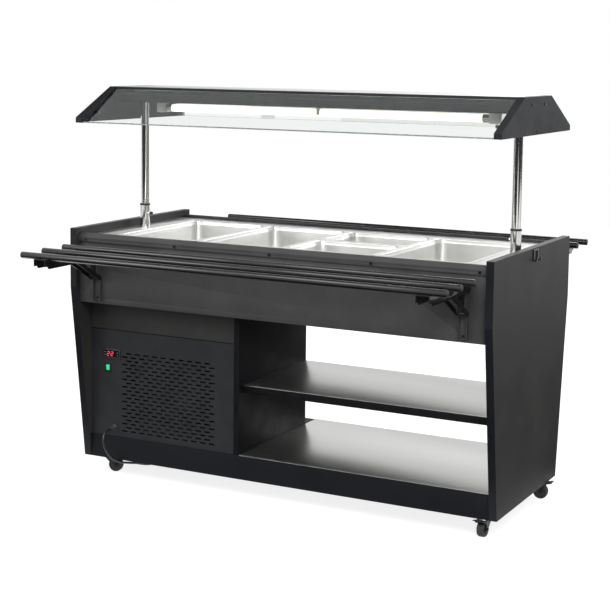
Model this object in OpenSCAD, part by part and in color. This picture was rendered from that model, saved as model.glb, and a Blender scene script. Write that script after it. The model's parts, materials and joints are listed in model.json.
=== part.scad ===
// Mobile salad bar on casters: an open well of chilled pans between two flared end panels, a glass canopy
// on two posts, fold-down tray slides on both long sides and a refrigeration bay behind a slotted grille.
// Millimetres, +Z up, origin on the floor under the middle of the cabinet, front towards -Y.

/* [Cabinet] */
// Length over the end panels
cabinet_length = 1530; // [1450:10:1700]
// Thickness of an end panel
panel_t = 25; // [18:1:30]
// Depth of an end panel above its bend
panel_depth = 728; // [700:2:780]
// Depth of an end panel at its foot
foot_depth = 570; // [550:2:620]
// Height of the top edge of an end panel
panel_top = 875; // [870:1:900]
// Height of the bend in an end panel
bend_z = 673; // [640:1:720]
// Height of the underside of the cabinet
base_z = 65; // [65:1:80]
// Clearance between pieces that are fitted side by side
gap = 0.3; // [0.1:0.1:0.5]

/* [Base] */
// Thickness of the base deck
deck_t = 16; // [12:1:20]
// Height of the base deck's upper face
deck_top = 145.5; // [140:0.5:160]
// How far a kick panel stands behind the foot of the end panels
kick_inset = 2; // [1:1:10]
// Thickness of a kick panel
kick_t = 18; // [12:1:20]
// Width of the bearers that carry the casters
bearer_w = 60; // [56:1:70]
// Thickness of the sheet on a shelf
sheet_t = 1.5; // [1:0.5:3]
// Length of the refrigeration bay, from the left end panel to the divider
bay_length = 575; // [520:5:620]
// Thickness of that panel
divider_t = 20; // [16:1:25]
// Height of the middle shelf's upper face
shelf_top = 380; // [340:5:420]
// Thickness of the middle shelf under its sheet
shelf_t = 25; // [18:1:30]
// Front edge of the middle shelf
shelf_front = -258; // [-265:1:-240]
// Rear edge of the middle shelf, of the divider and of the bay
bay_rear = 200; // [180:5:240]

/* [Fascia and rails] */
// Outer face of a fascia, from the middle of the cabinet
fascia_y = 342; // [336:1:346]
// Thickness of a fascia
fascia_t = 18; // [12:1:20]
// Height of the lower edge of a fascia
fascia_bottom = 620; // [610:1:640]
// Thickness of the rail along the top of a fascia
rail_t = 4; // [3:1:6]
// Height of the rail over the well flange
rail_h = 10; // [8:1:14]
// Height of the rail's outer face
rail_face = 17; // [14:1:20]
// Screws in each rail
rail_screws = 5; // [3:1:7]

/* [Well] */
// Height of the well flange's upper face
flange_top = 848; // [846:1:852]
// Thickness of the well flange
flange_t = 2; // [1.5:0.5:3]
// How far a pan's rim laps over the edge of the well opening, at the ends
end_lap = 12; // [8:1:14]
// The same, at the front and the rear
side_lap = 10; // [8:1:12]
// Height of the well floor
well_floor = 652; // [640:1:660]
// Thickness of the well walls
well_wall = 1.5; // [1:0.5:2]
// Insulation round the well walls
foam_t = 34; // [28:1:36]
// Height of the underside of the insulated body
body_bottom = 622; // [621:1:630]
// Width of a bar between two pans
bar_w = 20; // [16:1:20]
// Height of a bar between two pans
bar_h = 12; // [8:1:16]

/* [Pans] */
// Clearance between the rims of two pans
pan_play = 1; // [0.5:0.5:3]
// Length of a full pan over its rim
pan_rim_l = 530; // [528:1:534]
// Width of a pan over its rim
pan_rim_w = 325; // [322:1:325]
// Width of a pan's rim
pan_lip = 12.5; // [12:0.5:14]
// Width of a half pan's rim
half_lip = 12; // [11:0.5:14]
// Depth of a pan
pan_depth = 150; // [100:5:160]
// Thickness of a pan
pan_t = 1; // [0.8:0.1:1.5]
// Radius of a pan's corners
pan_corner_r = 30; // [20:1:40]

/* [Canopy] */
// Distance of a post's middle from the inner face of the end panel
post_inset = 38; // [34:1:39]
// Outer radius of a post tube
post_r = 15; // [13:0.5:15]
// Inner radius of a post tube
post_bore_r = 13.5; // [11:0.5:13.5]
// Outer radius of a post sleeve
sleeve_r = 17.5; // [17.5:0.5:19]
// Upper end of a post sleeve
sleeve_top = 932; // [910:1:960]
// Lower end of a post sleeve
sleeve_bottom = 615; // [600:1:620]
// Lower end of a post tube
post_bottom = 770; // [770:1:800]
// Height of the canopy's upper face
canopy_top_z = 1352; // [1340:1:1400]
// Height of the canopy's top box
canopy_box_h = 55; // [45:1:60]
// Depth of the canopy's top box
canopy_box_w = 254; // [240:2:280]
// Depth of a canopy cheek at its lower edge
cheek_w = 660; // [640:2:680]
// Height of a canopy cheek
cheek_h = 120; // [115:1:125]
// Height of the upright lip of a canopy cheek
cheek_lip = 18; // [16:1:24]
// Thickness of a canopy pane
glass_t = 5; // [4:0.5:6]
// Depth of the groove that holds a pane's end
groove_d = 8; // [5:1:12]
// Outer radius of the lamp tube
lamp_r = 13; // [8:1:14]
// Distance from the end of the lamp tube to the end panel
lamp_inset = 133; // [100:1:300]
// Distance of the lamp's middle under the top box
lamp_drop = 22; // [20:1:24]

/* [Tray slides] */
// Distance of a tray slide arm's middle from the inner face of the end panel
arm_inset = 75; // [60:5:140]
// Outer width of a tray slide arm
arm_w = 44; // [42:1:50]
// Thickness of a tray slide arm
arm_t = 2; // [2:0.5:2.5]
// Height of the arm's flanges
arm_h = 32; // [30:1:34]
// Reach of a tray slide arm from its hinge
arm_reach = 308; // [306:1:330]
// Outer radius of a tray slide tube
tray_tube_r = 11; // [9:0.5:12]
// Wall of a tray slide tube
tray_tube_wall = 1.5; // [1:0.5:2]
// Distance of the first tube from the hinge
first_tube = 82; // [70:1:86]
// Distance between two tubes
tube_pitch = 110; // [100:1:110]
// Distance by which a tray slide tube ends short of the inner face of the end panel
tray_end_inset = 4; // [1:1:40]
// Distance of the hinge pin from the fascia
hinge_out = 15; // [15:1:18]
// Height of the hinge pin
hinge_z = 790; // [780:1:792]
// Radius of the hinge pin
hinge_pin_r = 4; // [3:0.5:4]
// Radius of a strut pin
strut_pin_r = 3; // [2.5:0.5:3]
// Running clearance of a pin in its bore
pin_play = 0.05; // [0.02:0.01:0.08]
// Distance of a strut's upper pin from the hinge
strut_out = 140; // [140:1:144]
// Distance of a strut's lower pin under the hinge
strut_down = 80; // [80:1:84]
// Width of a strut bar
strut_w = 14; // [12:1:14]
// Thickness of a strut bar
strut_t = 4; // [3:0.5:4]
// Outer width of a wall bracket
bracket_w = 30; // [26:1:30]
// Lower end of a wall bracket
bracket_bottom = 628; // [626:1:640]
// Thickness of a wall bracket
bracket_t = 3; // [2:0.5:3]

/* [Bay] */
// Outer face of the grille, from the middle of the cabinet
grille_y = 277; // [276:1:280]
// Thickness of the grille
grille_t = 2; // [1.5:0.5:2]
// Depth of the grille's folded edge
grille_fold = 10; // [6:1:12]
// Height of the grille's upper edge
grille_top = 518; // [500:1:540]
// Distance between two rows of slots
slot_row = 13; // [12:1:16]
// Distance between two slots in a row
slot_pitch = 35; // [32:1:40]
// Length of a slot
slot_l = 23; // [16:1:24]
// Height of a slot
slot_h = 5; // [4:0.5:6]
// Place of the thermostat on the grille, from the left end panel and the floor
thermostat_at = [84, 435];
// Size of the thermostat's bezel
thermostat_size = [74, 34];
// Place of the switch on the grille, from the left end panel and the floor
switch_at = [70, 386];
// Size of the switch's bezel
switch_size = [24, 32];
// Place of the cord's hole in the grille, from the left end panel and the floor
cord_hole_at = [96, 175];
// Place of the fan's shaft, from the left end panel and the floor
fan_at = [300, 300];
// Place of the compressor on the deck, from the left end panel and the middle of the depth
compressor_at = [410, 60];
// Radius of the fan blades
fan_r = 95; // [80:1:100]

/* [Casters] */
// Distance of a caster's swivel axis from the inner face of the end panel
caster_inset = 32; // [31:1:40]
// Distance of a caster's swivel axis from the middle, across the depth
caster_y = 220; // [215:1:225]
// Radius of a wheel
wheel_r = 25; // [24:0.5:25]
// Width of a wheel
wheel_w = 24; // [20:1:26]
// Distance of the wheel's axle from the swivel axis
trail = 28; // [24:1:28]
// Radius of a wheel's axle
axle_r = 3; // [2.5:0.5:3.5]
// Radius of a caster's stud
stud_r = 5; // [4:0.5:6]

/* [Hidden] */
$fn = 48;

half_length = cabinet_length / 2;
inside_x = half_length - panel_t;
panel_y = panel_depth / 2;
foot_y = foot_depth / 2;
kick_y = foot_y - kick_inset;
kick_back = kick_y - kick_t;
fascia_back = fascia_y - fascia_t;
flange_bottom = flange_top - flange_t;
shelf_sheet_top = deck_top + sheet_t;
middle_core_top = shelf_top - sheet_t;
divider_x = -inside_x + bay_length;
divider_right = divider_x + divider_t;
pan_pitch = pan_rim_w + pan_play;
pan_body_l = pan_rim_l - 2 * pan_lip;
pan_body_w = pan_rim_w - 2 * pan_lip;
half_rim_l = (pan_rim_l - 2 * pan_play) / 2;
half_body_l = half_rim_l - 2 * half_lip;
basin_x = 2 * pan_pitch - end_lap;
basin_y = pan_rim_l / 2 - side_lap;
post_x = inside_x - post_inset;
arm_x = inside_x - arm_inset;
caster_x = inside_x - caster_inset;
tray_tube_half = inside_x - tray_end_inset;
lamp_length = 2 * (inside_x - lamp_inset);
// A place on the bay's front or deck, counted from the middle of the cabinet.
function from_left(place) = [place.x - inside_x, place.y];
thermostat_mid = from_left(thermostat_at);
switch_mid = from_left(switch_at);
cord_hole_mid = from_left(cord_hole_at);
fan_mid = from_left(fan_at);
compressor_mid = from_left(compressor_at);
sleeve_bore_r = post_r + pin_play;
post_foot_h = 60;
post_foot_gap = 10;
canopy_under_z = canopy_top_z - canopy_box_h;
cheek_bottom = canopy_top_z - cheek_h;
lamp_z = canopy_under_z - lamp_drop;
bar_bottom = flange_top - bar_h;
pan_seat = flange_top + gap;
hinge_y = -fascia_y - hinge_out;
arm_over_hinge = 19;
arm_top = hinge_z + arm_over_hinge;
arm_bottom = arm_top - arm_h;
// The tubes lie in round saddles of this depth in the top of the arms.
saddle = 1;
tray_tube_z = arm_top + tray_tube_r - saddle;
strut_len = norm([strut_out, strut_down]);
grille_back = grille_y - grille_t;
thermostat_depth = 60;
switch_depth = 28;
bezel_t = 3;
rocker_tilt = 7;
steel = "silver";
charcoal = "#45474a";
black = "#1c1c1e";

// A block between two opposite corners.
module block(low, high) {
    translate(low) cube(high - low);
}

// The same shape on the front and on the rear, turned about the middle of the cabinet.
module both_fronts() {
    children();
    rotate([0, 0, 180]) children();
}

// The same shape at both ends, mirrored.
module both_ends() {
    children();
    mirror([1, 0, 0]) children();
}

// A profile of Y and Z, drawn out along X from one place to another.
module along_x(x0, x1) {
    translate([x0, 0, 0]) rotate([90, 0, 90]) linear_extrude(x1 - x0) children();
}

// A cylinder along X between two places.
module rod_x(x0, x1, y, z, r) {
    translate([x0, y, z]) rotate([0, 90, 0]) cylinder(h = x1 - x0, r = r);
}

// A rectangle with true round corners.
module rounded_rect(size, r) {
    square([size.x - 2 * r, size.y], center = true);
    square([size.x, size.y - 2 * r], center = true);
    for (sx = [-1, 1], sy = [-1, 1])
        translate([sx * (size.x / 2 - r), sy * (size.y / 2 - r)]) circle(r);
}

// ---- Cabinet ----

panel_profile = [[-panel_y, panel_top], [-panel_y, bend_z], [-foot_y, base_z], [foot_y, base_z],
    [panel_y, bend_z], [panel_y, panel_top]];

module left_end_panel() {
    color(charcoal) along_x(-half_length, -inside_x) polygon(panel_profile);
}

module right_end_panel() {
    color(charcoal) along_x(inside_x, half_length) polygon(panel_profile);
}

rail_screw_z = flange_top - 11;
rail_screw_inset = 26;
rail_screw_xs = [for (i = [0 : rail_screws - 1])
    (i - (rail_screws - 1) / 2) * (inside_x - rail_screw_inset) * 2 / (rail_screws - 1)];
screw_r = 2;
screw_head_r = 4.5;
screw_head_h = 2.5;
screw_l = 14;

module rail_screw_shanks(play) {
    for (x = rail_screw_xs) translate([x, -fascia_y - rail_t - 1, rail_screw_z]) rotate([-90, 0, 0])
        cylinder(h = screw_l + rail_t + 1 + play, r = screw_r + play);
}

module fascia_panels() {
    color(charcoal) both_fronts() difference() {
        block([-inside_x + gap, -fascia_y, fascia_bottom], [inside_x - gap, -fascia_back, flange_bottom]);
        rail_screw_shanks(pin_play);
        bracket_screw_shanks(pin_play);
    }
}

rail_top = flange_top + rail_h;
rail_low = flange_top - 20;
rail_chamfer = 9;
rail_lap = 16;

module top_rails() {
    outer = fascia_y + rail_t;
    color(charcoal) both_fronts() difference() {
        along_x(-inside_x + gap, inside_x - gap) polygon([[-outer, rail_low],
            [-outer, rail_low + rail_face], [-outer + rail_chamfer, rail_top],
            [-fascia_y + rail_lap, rail_top], [-fascia_y + rail_lap, flange_top],
            [-fascia_y, flange_top], [-fascia_y, rail_low]]);
        rail_screw_shanks(pin_play);
    }
}

module screw_head(r, h) {
    socket_r = r * 0.5;
    difference() {
        cylinder(h = h, r = r);
        translate([0, 0, h * 0.4]) cylinder(h = h, r = socket_r, $fn = 6);
    }
}

module screw_out(x, y, z, l) {
    translate([x, y, z]) rotate([90, 0, 0]) {
        screw_head(screw_head_r, screw_head_h);
        translate([0, 0, -l]) cylinder(h = l + 0.5, r = screw_r);
    }
}

module cabinet_screws() {
    color(steel) both_fronts() {
        for (x = rail_screw_xs) screw_out(x, -fascia_y - rail_t, rail_screw_z, screw_l);
        for (x = [-arm_x, arm_x], z = bracket_screw_zs) screw_out(x, -fascia_y - bracket_t, z, screw_l);
    }
}

module base_deck() {
    deck_x = inside_x - gap;
    color(black) {
        block([-deck_x, -kick_back, deck_top - deck_t], [deck_x, kick_back, deck_top]);
        both_ends()
            block([deck_x - bearer_w, -kick_back, base_z], [deck_x, kick_back, deck_top - deck_t + 1]);
    }
}

module kick_panels() {
    color(charcoal) both_fronts()
        block([-inside_x + gap, -kick_y, base_z], [inside_x - gap, -kick_back, deck_top]);
}

module middle_shelf() {
    color(black) block([divider_right, shelf_front, middle_core_top - shelf_t],
        [inside_x - gap, bay_rear, middle_core_top]);
}

module shelf_sheets() {
    color(steel) {
        block([divider_right + gap, -kick_y + kick_inset, deck_top],
            [inside_x - gap, kick_y - kick_inset, shelf_sheet_top]);
        block([divider_right + gap, shelf_front, middle_core_top],
            [inside_x - gap, bay_rear, shelf_top]);
    }
}

module divider_panel() {
    color(black) block([divider_x, -kick_y + kick_inset, deck_top], [divider_right, bay_rear, body_bottom]);
}

header_t = 16;
header_bottom = grille_top + 2;

module bay_panels() {
    color(charcoal) {
        block([-inside_x + gap, -grille_y, header_bottom],
            [divider_x - gap, -grille_y + header_t, body_bottom]);
        block([-inside_x + gap, bay_rear - kick_t, deck_top], [divider_x - gap, bay_rear, body_bottom]);
    }
}

slot_first_x = 138 - inside_x;
slot_last_x = divider_x - 73;
slot_first_z = deck_top + 22.5;
slot_last_z = grille_top - 72;

// One row of slots across the grille; every other row is shifted by half a pitch.
module slot_row_cut(shift) {
    for (x = [slot_first_x + shift : slot_pitch : slot_last_x]) translate([x, 0]) {
        square([slot_l - slot_h, slot_h], center = true);
        for (s = [-1, 1]) translate([s * (slot_l - slot_h) / 2, 0]) circle(slot_h / 2, $fn = 16);
    }
}

// The grille's face, as seen from the front: X across and Z up.
module grille_face() {
    difference() {
        translate([-inside_x + gap, deck_top])
            square([divider_x + inside_x - 2 * gap, grille_top - deck_top]);
        for (i = [0 : floor((slot_last_z - slot_first_z) / slot_row)])
            translate([0, slot_first_z + i * slot_row]) slot_row_cut((i % 2) * slot_pitch / 2);
        translate(thermostat_mid) square(case_size(thermostat_size) + [2 * gap, 2 * gap], center = true);
        translate(switch_mid) square(case_size(switch_size) + [2 * gap, 2 * gap], center = true);
        translate(cord_hole_mid) circle(relief_neck_r + pin_play);
    }
}

module grille_panel() {
    left = -inside_x + gap;
    right = divider_x - gap;
    color(charcoal) {
        translate([0, -grille_back, 0]) rotate([90, 0, 0]) linear_extrude(grille_t) grille_face();
        for (x = [left, right - grille_t])
            block([x, -grille_back - 1, deck_top], [x + grille_t, -grille_back + grille_fold, grille_top]);
        for (z = [deck_top, grille_top - grille_t])
            block([left, -grille_back - 1, z], [right, -grille_back + grille_fold, z + grille_t]);
    }
}

// ---- Controls ----

// The part of a control that goes through the grille is this much smaller than its bezel.
bezel_lap = 3;
function case_size(size) = [size.x - 2 * bezel_lap, size.y - 2 * bezel_lap];

window_size = [62, 22];
window_t = 1.5;
rocker_w = 13;
rocker_r = 11;
rocker_pivot_y = -grille_y + 4;
rocker_pin_r = 1.5;
rocker_pin_l = rocker_w + 2.4;

module control_case(at, size, depth) {
    inner = case_size(size);
    translate([at.x, -grille_y, at.y]) {
        block([-size.x / 2, -bezel_t, -size.y / 2], [size.x / 2, 0, size.y / 2]);
        block([-inner.x / 2, -1, -inner.y / 2], [inner.x / 2, depth, inner.y / 2]);
    }
}

module control_housings() {
    color(black) {
        difference() {
            control_case(thermostat_mid, thermostat_size, thermostat_depth);
            translate([thermostat_mid.x, -grille_y - bezel_t, thermostat_mid.y])
                block([-window_size.x / 2, -1, -window_size.y / 2],
                    [window_size.x / 2, window_t, window_size.y / 2]);
        }
        difference() {
            control_case(switch_mid, switch_size, switch_depth);
            rod_x(switch_mid.x - rocker_w / 2 - gap, switch_mid.x + rocker_w / 2 + gap,
                rocker_pivot_y, switch_mid.y, rocker_r + gap);
            rod_x(switch_mid.x - rocker_pin_l / 2 - gap, switch_mid.x + rocker_pin_l / 2 + gap,
                rocker_pivot_y, switch_mid.y, rocker_pin_r + pin_play);
        }
    }
}

module display_window() {
    color(black) translate([thermostat_mid.x, -grille_y - bezel_t, thermostat_mid.y])
        block([-window_size.x / 2 + gap, 0, -window_size.y / 2 + gap],
            [window_size.x / 2 - gap, window_t, window_size.y / 2 - gap]);
}

// A round barrel with a shallow V across its front, tilted to the side that is pressed in.
module rocker_switch() {
    valley = rocker_r - 4;
    color("green") translate([switch_mid.x, rocker_pivot_y, switch_mid.y]) rotate([rocker_tilt, 0, 0]) {
        difference() {
            rod_x(-rocker_w / 2, rocker_w / 2, 0, 0, rocker_r);
            along_x(-rocker_w, rocker_w) polygon([[-valley, 0],
                [-valley - 2 * rocker_r * sin(rocker_tilt), 2 * rocker_r],
                [-2 * rocker_r, 2 * rocker_r], [-2 * rocker_r, -2 * rocker_r],
                [-valley - 2 * rocker_r * sin(rocker_tilt), -2 * rocker_r]]);
        }
        rod_x(-rocker_pin_l / 2, rocker_pin_l / 2, 0, 0, rocker_pin_r);
    }
}

// ---- Well ----

liner_x = basin_x + well_wall;
liner_y = basin_y + well_wall;
liner_bottom = well_floor - well_wall;
// The insulation ends at the fascias and at the post sleeves.
body_x = min(liner_x + foam_t, post_x - sleeve_r - gap);
body_y = min(liner_y + foam_t, fascia_back);

module well_body() {
    color(steel) difference() {
        block([-body_x, -body_y, body_bottom], [body_x, body_y, flange_bottom]);
        block([-liner_x, -liner_y, liner_bottom], [liner_x, liner_y, flange_top]);
    }
}

lug_w = 20;
lug_l = 10;
lug_h = 3;
bar_xs = [-pan_pitch, 0, pan_pitch];

module well_liner() {
    flange_x = inside_x - gap;
    flange_y = fascia_y - 2;
    color(steel) {
        difference() {
            union() {
                block([-flange_x, -flange_y, flange_bottom], [flange_x, flange_y, flange_top]);
                block([-liner_x, -liner_y, liner_bottom], [liner_x, liner_y, flange_top]);
            }
            block([-basin_x, -basin_y, well_floor], [basin_x, basin_y, flange_top + 1]);
            both_ends() translate([post_x, 0, flange_bottom - 1])
                cylinder(h = flange_t + 2, r = sleeve_r + gap);
        }
        both_fronts() for (x = bar_xs)
            block([x - lug_w / 2, -basin_y - 1, bar_bottom - lug_h],
                [x + lug_w / 2, -basin_y + lug_l, bar_bottom]);
    }
}

module pan_bars() {
    bar_y = basin_y - gap;
    color(steel) {
        for (x = bar_xs) block([x - bar_w / 2, -bar_y, bar_bottom], [x + bar_w / 2, bar_y, flange_top]);
        block([bar_w / 2 - 1, -bar_w / 2, bar_bottom], [pan_pitch - bar_w / 2 + 1, bar_w / 2, flange_top]);
    }
}

// ---- Pans ----

half_pan_y = (half_rim_l + pan_play) / 2;

module pan(x, y, rim, body) {
    color(steel) translate([x, y, pan_seat]) difference() {
        union() {
            linear_extrude(pan_t) rounded_rect(rim, pan_corner_r / 2);
            translate([0, 0, pan_t - pan_depth]) linear_extrude(pan_depth) rounded_rect(body, pan_corner_r);
        }
        translate([0, 0, 2 * pan_t - pan_depth]) linear_extrude(pan_depth)
            rounded_rect(body - [2 * pan_t, 2 * pan_t], pan_corner_r - pan_t);
    }
}

module full_pan(place) {
    pan(place * pan_pitch / 2, 0, [pan_rim_w, pan_rim_l], [pan_body_w, pan_body_l]);
}

module half_pan(side) {
    pan(pan_pitch / 2, side * half_pan_y, [pan_rim_w, half_rim_l], [pan_body_w, half_body_l]);
}

module full_pan_left() {
    full_pan(-3);
}

module full_pan_mid() {
    full_pan(-1);
}

module full_pan_right() {
    full_pan(3);
}

module half_pan_front() {
    half_pan(-1);
}

module half_pan_rear() {
    half_pan(1);
}

// ---- Bay ----

fan_y = -242;
fan_hub_r = 26;
fan_depth = 20;
motor_shaft_r = 4;
shroud_y = -grille_back + grille_fold + 3;
shroud_t = 3;
shroud_half = 120;
shroud_depth = 42;
motor_y = fan_y + fan_depth / 2 + 4;
motor_l = 34;
motor_r = 30;
motor_arm_w = 20;
motor_arm_t = 3;
condenser_y = motor_y + motor_l + 8;
condenser_d = 60;
condenser_half = 125;
compressor_r = 75;
compressor_h = 180;
compressor_dome = 30;
compressor_foot = [180, 130];
line_r = 4;
foot_t = 4;
foot_corner_r = 20;
pipe_r = 5;
pipe_row = 44;
pipe_first = 30;
pipe_bend = 6;
fin_t = 1.2;
end_fin_t = 3;

module fan_shroud() {
    color(black) difference() {
        union() {
            block([fan_mid.x - shroud_half, shroud_y, deck_top],
                [fan_mid.x + shroud_half, shroud_y + shroud_t, fan_mid.y + shroud_half]);
            translate([fan_mid.x, shroud_y, fan_mid.y]) rotate([-90, 0, 0])
                cylinder(h = shroud_depth, r = fan_r + 5 + shroud_t);
        }
        translate([fan_mid.x, shroud_y - 1, fan_mid.y]) rotate([-90, 0, 0])
            cylinder(h = shroud_depth + 2, r = fan_r + 5);
    }
}

// The motor hangs on two flat arms that end on the shroud's ring.
module fan_motor() {
    arm_reach_r = fan_r + 5 + shroud_t;
    arm_y = shroud_y + shroud_depth;
    color(charcoal) {
        translate([fan_mid.x, motor_y, fan_mid.y]) rotate([-90, 0, 0]) cylinder(h = motor_l, r = motor_r);
        translate([fan_mid.x, fan_y - fan_depth / 2, fan_mid.y]) rotate([-90, 0, 0])
            cylinder(h = fan_depth + 5, r = motor_shaft_r);
        block([fan_mid.x - arm_reach_r, arm_y, fan_mid.y - motor_arm_w / 2],
            [fan_mid.x + arm_reach_r, arm_y + motor_arm_t, fan_mid.y + motor_arm_w / 2]);
    }
}

module fan_blade() {
    color(black) translate([fan_mid.x, fan_y, fan_mid.y]) rotate([90, 0, 0]) difference() {
        union() {
            cylinder(h = fan_depth, r = fan_hub_r, center = true);
            for (a = [45 : 90 : 315]) rotate([0, 0, a]) translate([fan_hub_r - 6, 0, 0]) rotate([25, 0, 0])
                translate([0, -24, -1]) cube([fan_r - fan_hub_r, 48, 2]);
        }
        cylinder(h = fan_depth + 2, r = motor_shaft_r + pin_play, center = true);
    }
}

module condenser() {
    fins = 24;
    pitch = (2 * condenser_half - end_fin_t) / fins;
    top = fan_mid.y + shroud_half;
    color("gray") translate([fan_mid.x, condenser_y, 0]) {
        for (i = [0 : fins]) translate([-condenser_half + i * pitch, 0, deck_top])
            cube([i % fins == 0 ? end_fin_t : fin_t, condenser_d, top - deck_top]);
        for (z = [deck_top + pipe_first : pipe_row : top - 2 * pipe_r])
            rod_x(-condenser_half - pipe_bend, condenser_half + pipe_bend, condenser_d / 2, z, pipe_r);
    }
}

module compressor() {
    color(black) translate([compressor_mid.x, compressor_mid.y, deck_top]) {
        linear_extrude(foot_t) rounded_rect(compressor_foot, foot_corner_r);
        cylinder(h = compressor_h - compressor_dome, r = compressor_r);
        translate([0, 0, compressor_h - compressor_dome]) rotate_extrude() intersection() {
            scale([compressor_r, compressor_dome]) circle(1);
            square([compressor_r, compressor_dome]);
        }
    }
}

// Pipes run from the compressor and the condenser up to the insulated body.
module refrigerant_lines() {
    top = deck_top + compressor_h;
    color("#b8734a") {
        translate([compressor_mid.x, compressor_mid.y, top]) cylinder(h = body_bottom - top, r = line_r);
        translate([fan_mid.x + condenser_half / 2, condenser_y + condenser_d / 2, fan_mid.y + shroud_half])
            cylinder(h = body_bottom - fan_mid.y - shroud_half, r = line_r);
    }
}

// ---- Canopy ----

collar_h = 6;
collar_r = sleeve_r + 1;
thumb_z = 897;
thumb_pin_r = 3;
thumb_boss_r = 6;
thumb_boss_out = 22;
thumb_head_r = 6;
thumb_head_l = 9;

module post_sleeve() {
    color(steel) difference() {
        union() {
            translate([post_x, 0, sleeve_bottom]) cylinder(h = sleeve_top - sleeve_bottom, r = sleeve_r);
            translate([post_x, 0, sleeve_top - collar_h]) cylinder(h = collar_h, r = collar_r);
            rod_x(post_x - thumb_boss_out, post_x, 0, thumb_z, thumb_boss_r);
            for (z = [sleeve_bottom + post_foot_gap, flange_bottom - post_foot_h - post_foot_gap])
                block([post_x, -sleeve_r, z], [inside_x, sleeve_r, z + post_foot_h]);
        }
        translate([post_x, 0, sleeve_bottom - 1])
            cylinder(h = sleeve_top - sleeve_bottom + 2, r = sleeve_bore_r);
        rod_x(post_x - thumb_boss_out - 1, post_x, 0, thumb_z, thumb_pin_r + pin_play);
    }
}

module post_sleeves() {
    both_ends() post_sleeve();
}

module right_thumb_screw() {
    head_out = thumb_boss_out + gap;
    color(steel) {
        rod_x(post_x - head_out - 1, post_x - post_r - gap, 0, thumb_z, thumb_pin_r);
        rod_x(post_x - head_out - thumb_head_l, post_x - head_out, 0, thumb_z, thumb_head_r);
    }
}

module left_thumb_screw() {
    mirror([1, 0, 0]) right_thumb_screw();
}

module post_tubes() {
    plate_r = 25;
    plate_t = 3;
    plate_z = canopy_under_z - plate_t;
    color(steel) both_ends() translate([post_x, 0, 0]) {
        translate([0, 0, plate_z]) cylinder(h = plate_t, r = plate_r);
        difference() {
            translate([0, 0, post_bottom]) cylinder(h = plate_z - post_bottom + 1, r = post_r);
            translate([0, 0, post_bottom - 1]) cylinder(h = plate_z - post_bottom + 1, r = post_bore_r);
        }
    }
}

ridge = 3;
upper_ridge = 12;
lower_ridge = 26;
box_chamfer = 8;
box_y = canopy_box_w / 2;

module canopy_top() {
    // Half of the section: two long ridges stand out of each long face.
    side = [[box_y, canopy_top_z], [box_y, canopy_top_z - upper_ridge],
        [box_y - ridge, canopy_top_z - upper_ridge - ridge], [box_y - ridge, canopy_top_z - lower_ridge],
        [box_y, canopy_top_z - lower_ridge - ridge], [box_y, canopy_under_z + box_chamfer],
        [box_y - ridge, canopy_under_z]];
    color(charcoal) along_x(-inside_x + gap, inside_x - gap)
        polygon(concat(side, [for (i = [len(side) - 1 : -1 : 0]) [-side[i].x, side[i].y]]));
}

pane_low = [-cheek_w / 2 + 8, cheek_bottom + 4];
pane_high = [-box_y - 6, canopy_top_z - 9];
pane_tilt = atan2(pane_high.y - pane_low.y, pane_high.x - pane_low.x);
pane_l = norm(pane_high - pane_low);

// The section of the front pane, grown by a clearance for the groove that holds it.
module pane_section(play) {
    translate(pane_low) rotate(pane_tilt) translate([-play, -glass_t - play])
        square([pane_l + 2 * play, glass_t + 2 * play]);
}

module canopy_cheeks() {
    top_y = box_y;
    lip_y = cheek_w / 2;
    color(charcoal) both_ends() difference() {
        along_x(inside_x, half_length) polygon([[-lip_y, cheek_bottom], [-lip_y, cheek_bottom + cheek_lip],
            [-top_y, canopy_top_z], [top_y, canopy_top_z], [lip_y, cheek_bottom + cheek_lip],
            [lip_y, cheek_bottom]]);
        for (turn = [0, 1]) mirror([0, turn, 0]) along_x(inside_x - 1, inside_x + groove_d) pane_section(gap);
    }
}

module canopy_glass() {
    end_x = inside_x + groove_d - gap;
    color([0.8, 0.9, 0.9, 0.4]) for (turn = [0, 1]) mirror([0, turn, 0])
        along_x(-end_x, end_x) pane_section(0);
}

peg_y = -250;
peg_stem_r = 4;
peg_head_r = 6;
peg_out = 22;
peg_head_l = 6;
// Screws in the outer face of a cheek, as [Y, distance from its upper or lower edge].
upper_screw = [60, 25];
lower_screw = [7, 11];
lower_screw_r = 3;
peg_z = pane_low.y + ((peg_y - pane_low.x) * sin(pane_tilt) - glass_t - peg_head_r - gap) / cos(pane_tilt);

module canopy_fixings() {
    color(black) both_ends() {
        for (turn = [0, 1]) mirror([0, turn, 0]) {
            rod_x(inside_x - peg_out, inside_x, peg_y, peg_z, peg_stem_r);
            rod_x(inside_x - peg_out, inside_x - peg_out + peg_head_l, peg_y, peg_z, peg_head_r);
            translate([half_length, -upper_screw[0], canopy_top_z - upper_screw[1]]) rotate([0, 90, 0])
                screw_head(screw_head_r, screw_head_h);
            translate([half_length, -lower_screw[0], cheek_bottom + lower_screw[1]]) rotate([0, 90, 0])
                screw_head(lower_screw_r, 2);
        }
    }
}

module lamp_tube() {
    color("white") rod_x(-lamp_length / 2, lamp_length / 2, 0, lamp_z, lamp_r);
}

module lamp_holders() {
    holder_w = 32;
    holder_l = 33;
    clip_w = 12;
    lamp_end = lamp_length / 2;
    holder_low = lamp_z - lamp_r - 3;
    color("white") {
        both_ends() block([lamp_end, -holder_w / 2, holder_low],
            [lamp_end + holder_l, holder_w / 2, canopy_under_z]);
        difference() {
            block([-clip_w / 2, -holder_w / 2, lamp_z - lamp_r / 2],
                [clip_w / 2, holder_w / 2, canopy_under_z]);
            rod_x(-clip_w, clip_w, 0, lamp_z, lamp_r + gap);
        }
    }
}

// ---- Tray slides ----

bracket_screw_zs = [bracket_bottom + 12, bracket_bottom + 112];
bracket_top = hinge_z + 10;
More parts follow.
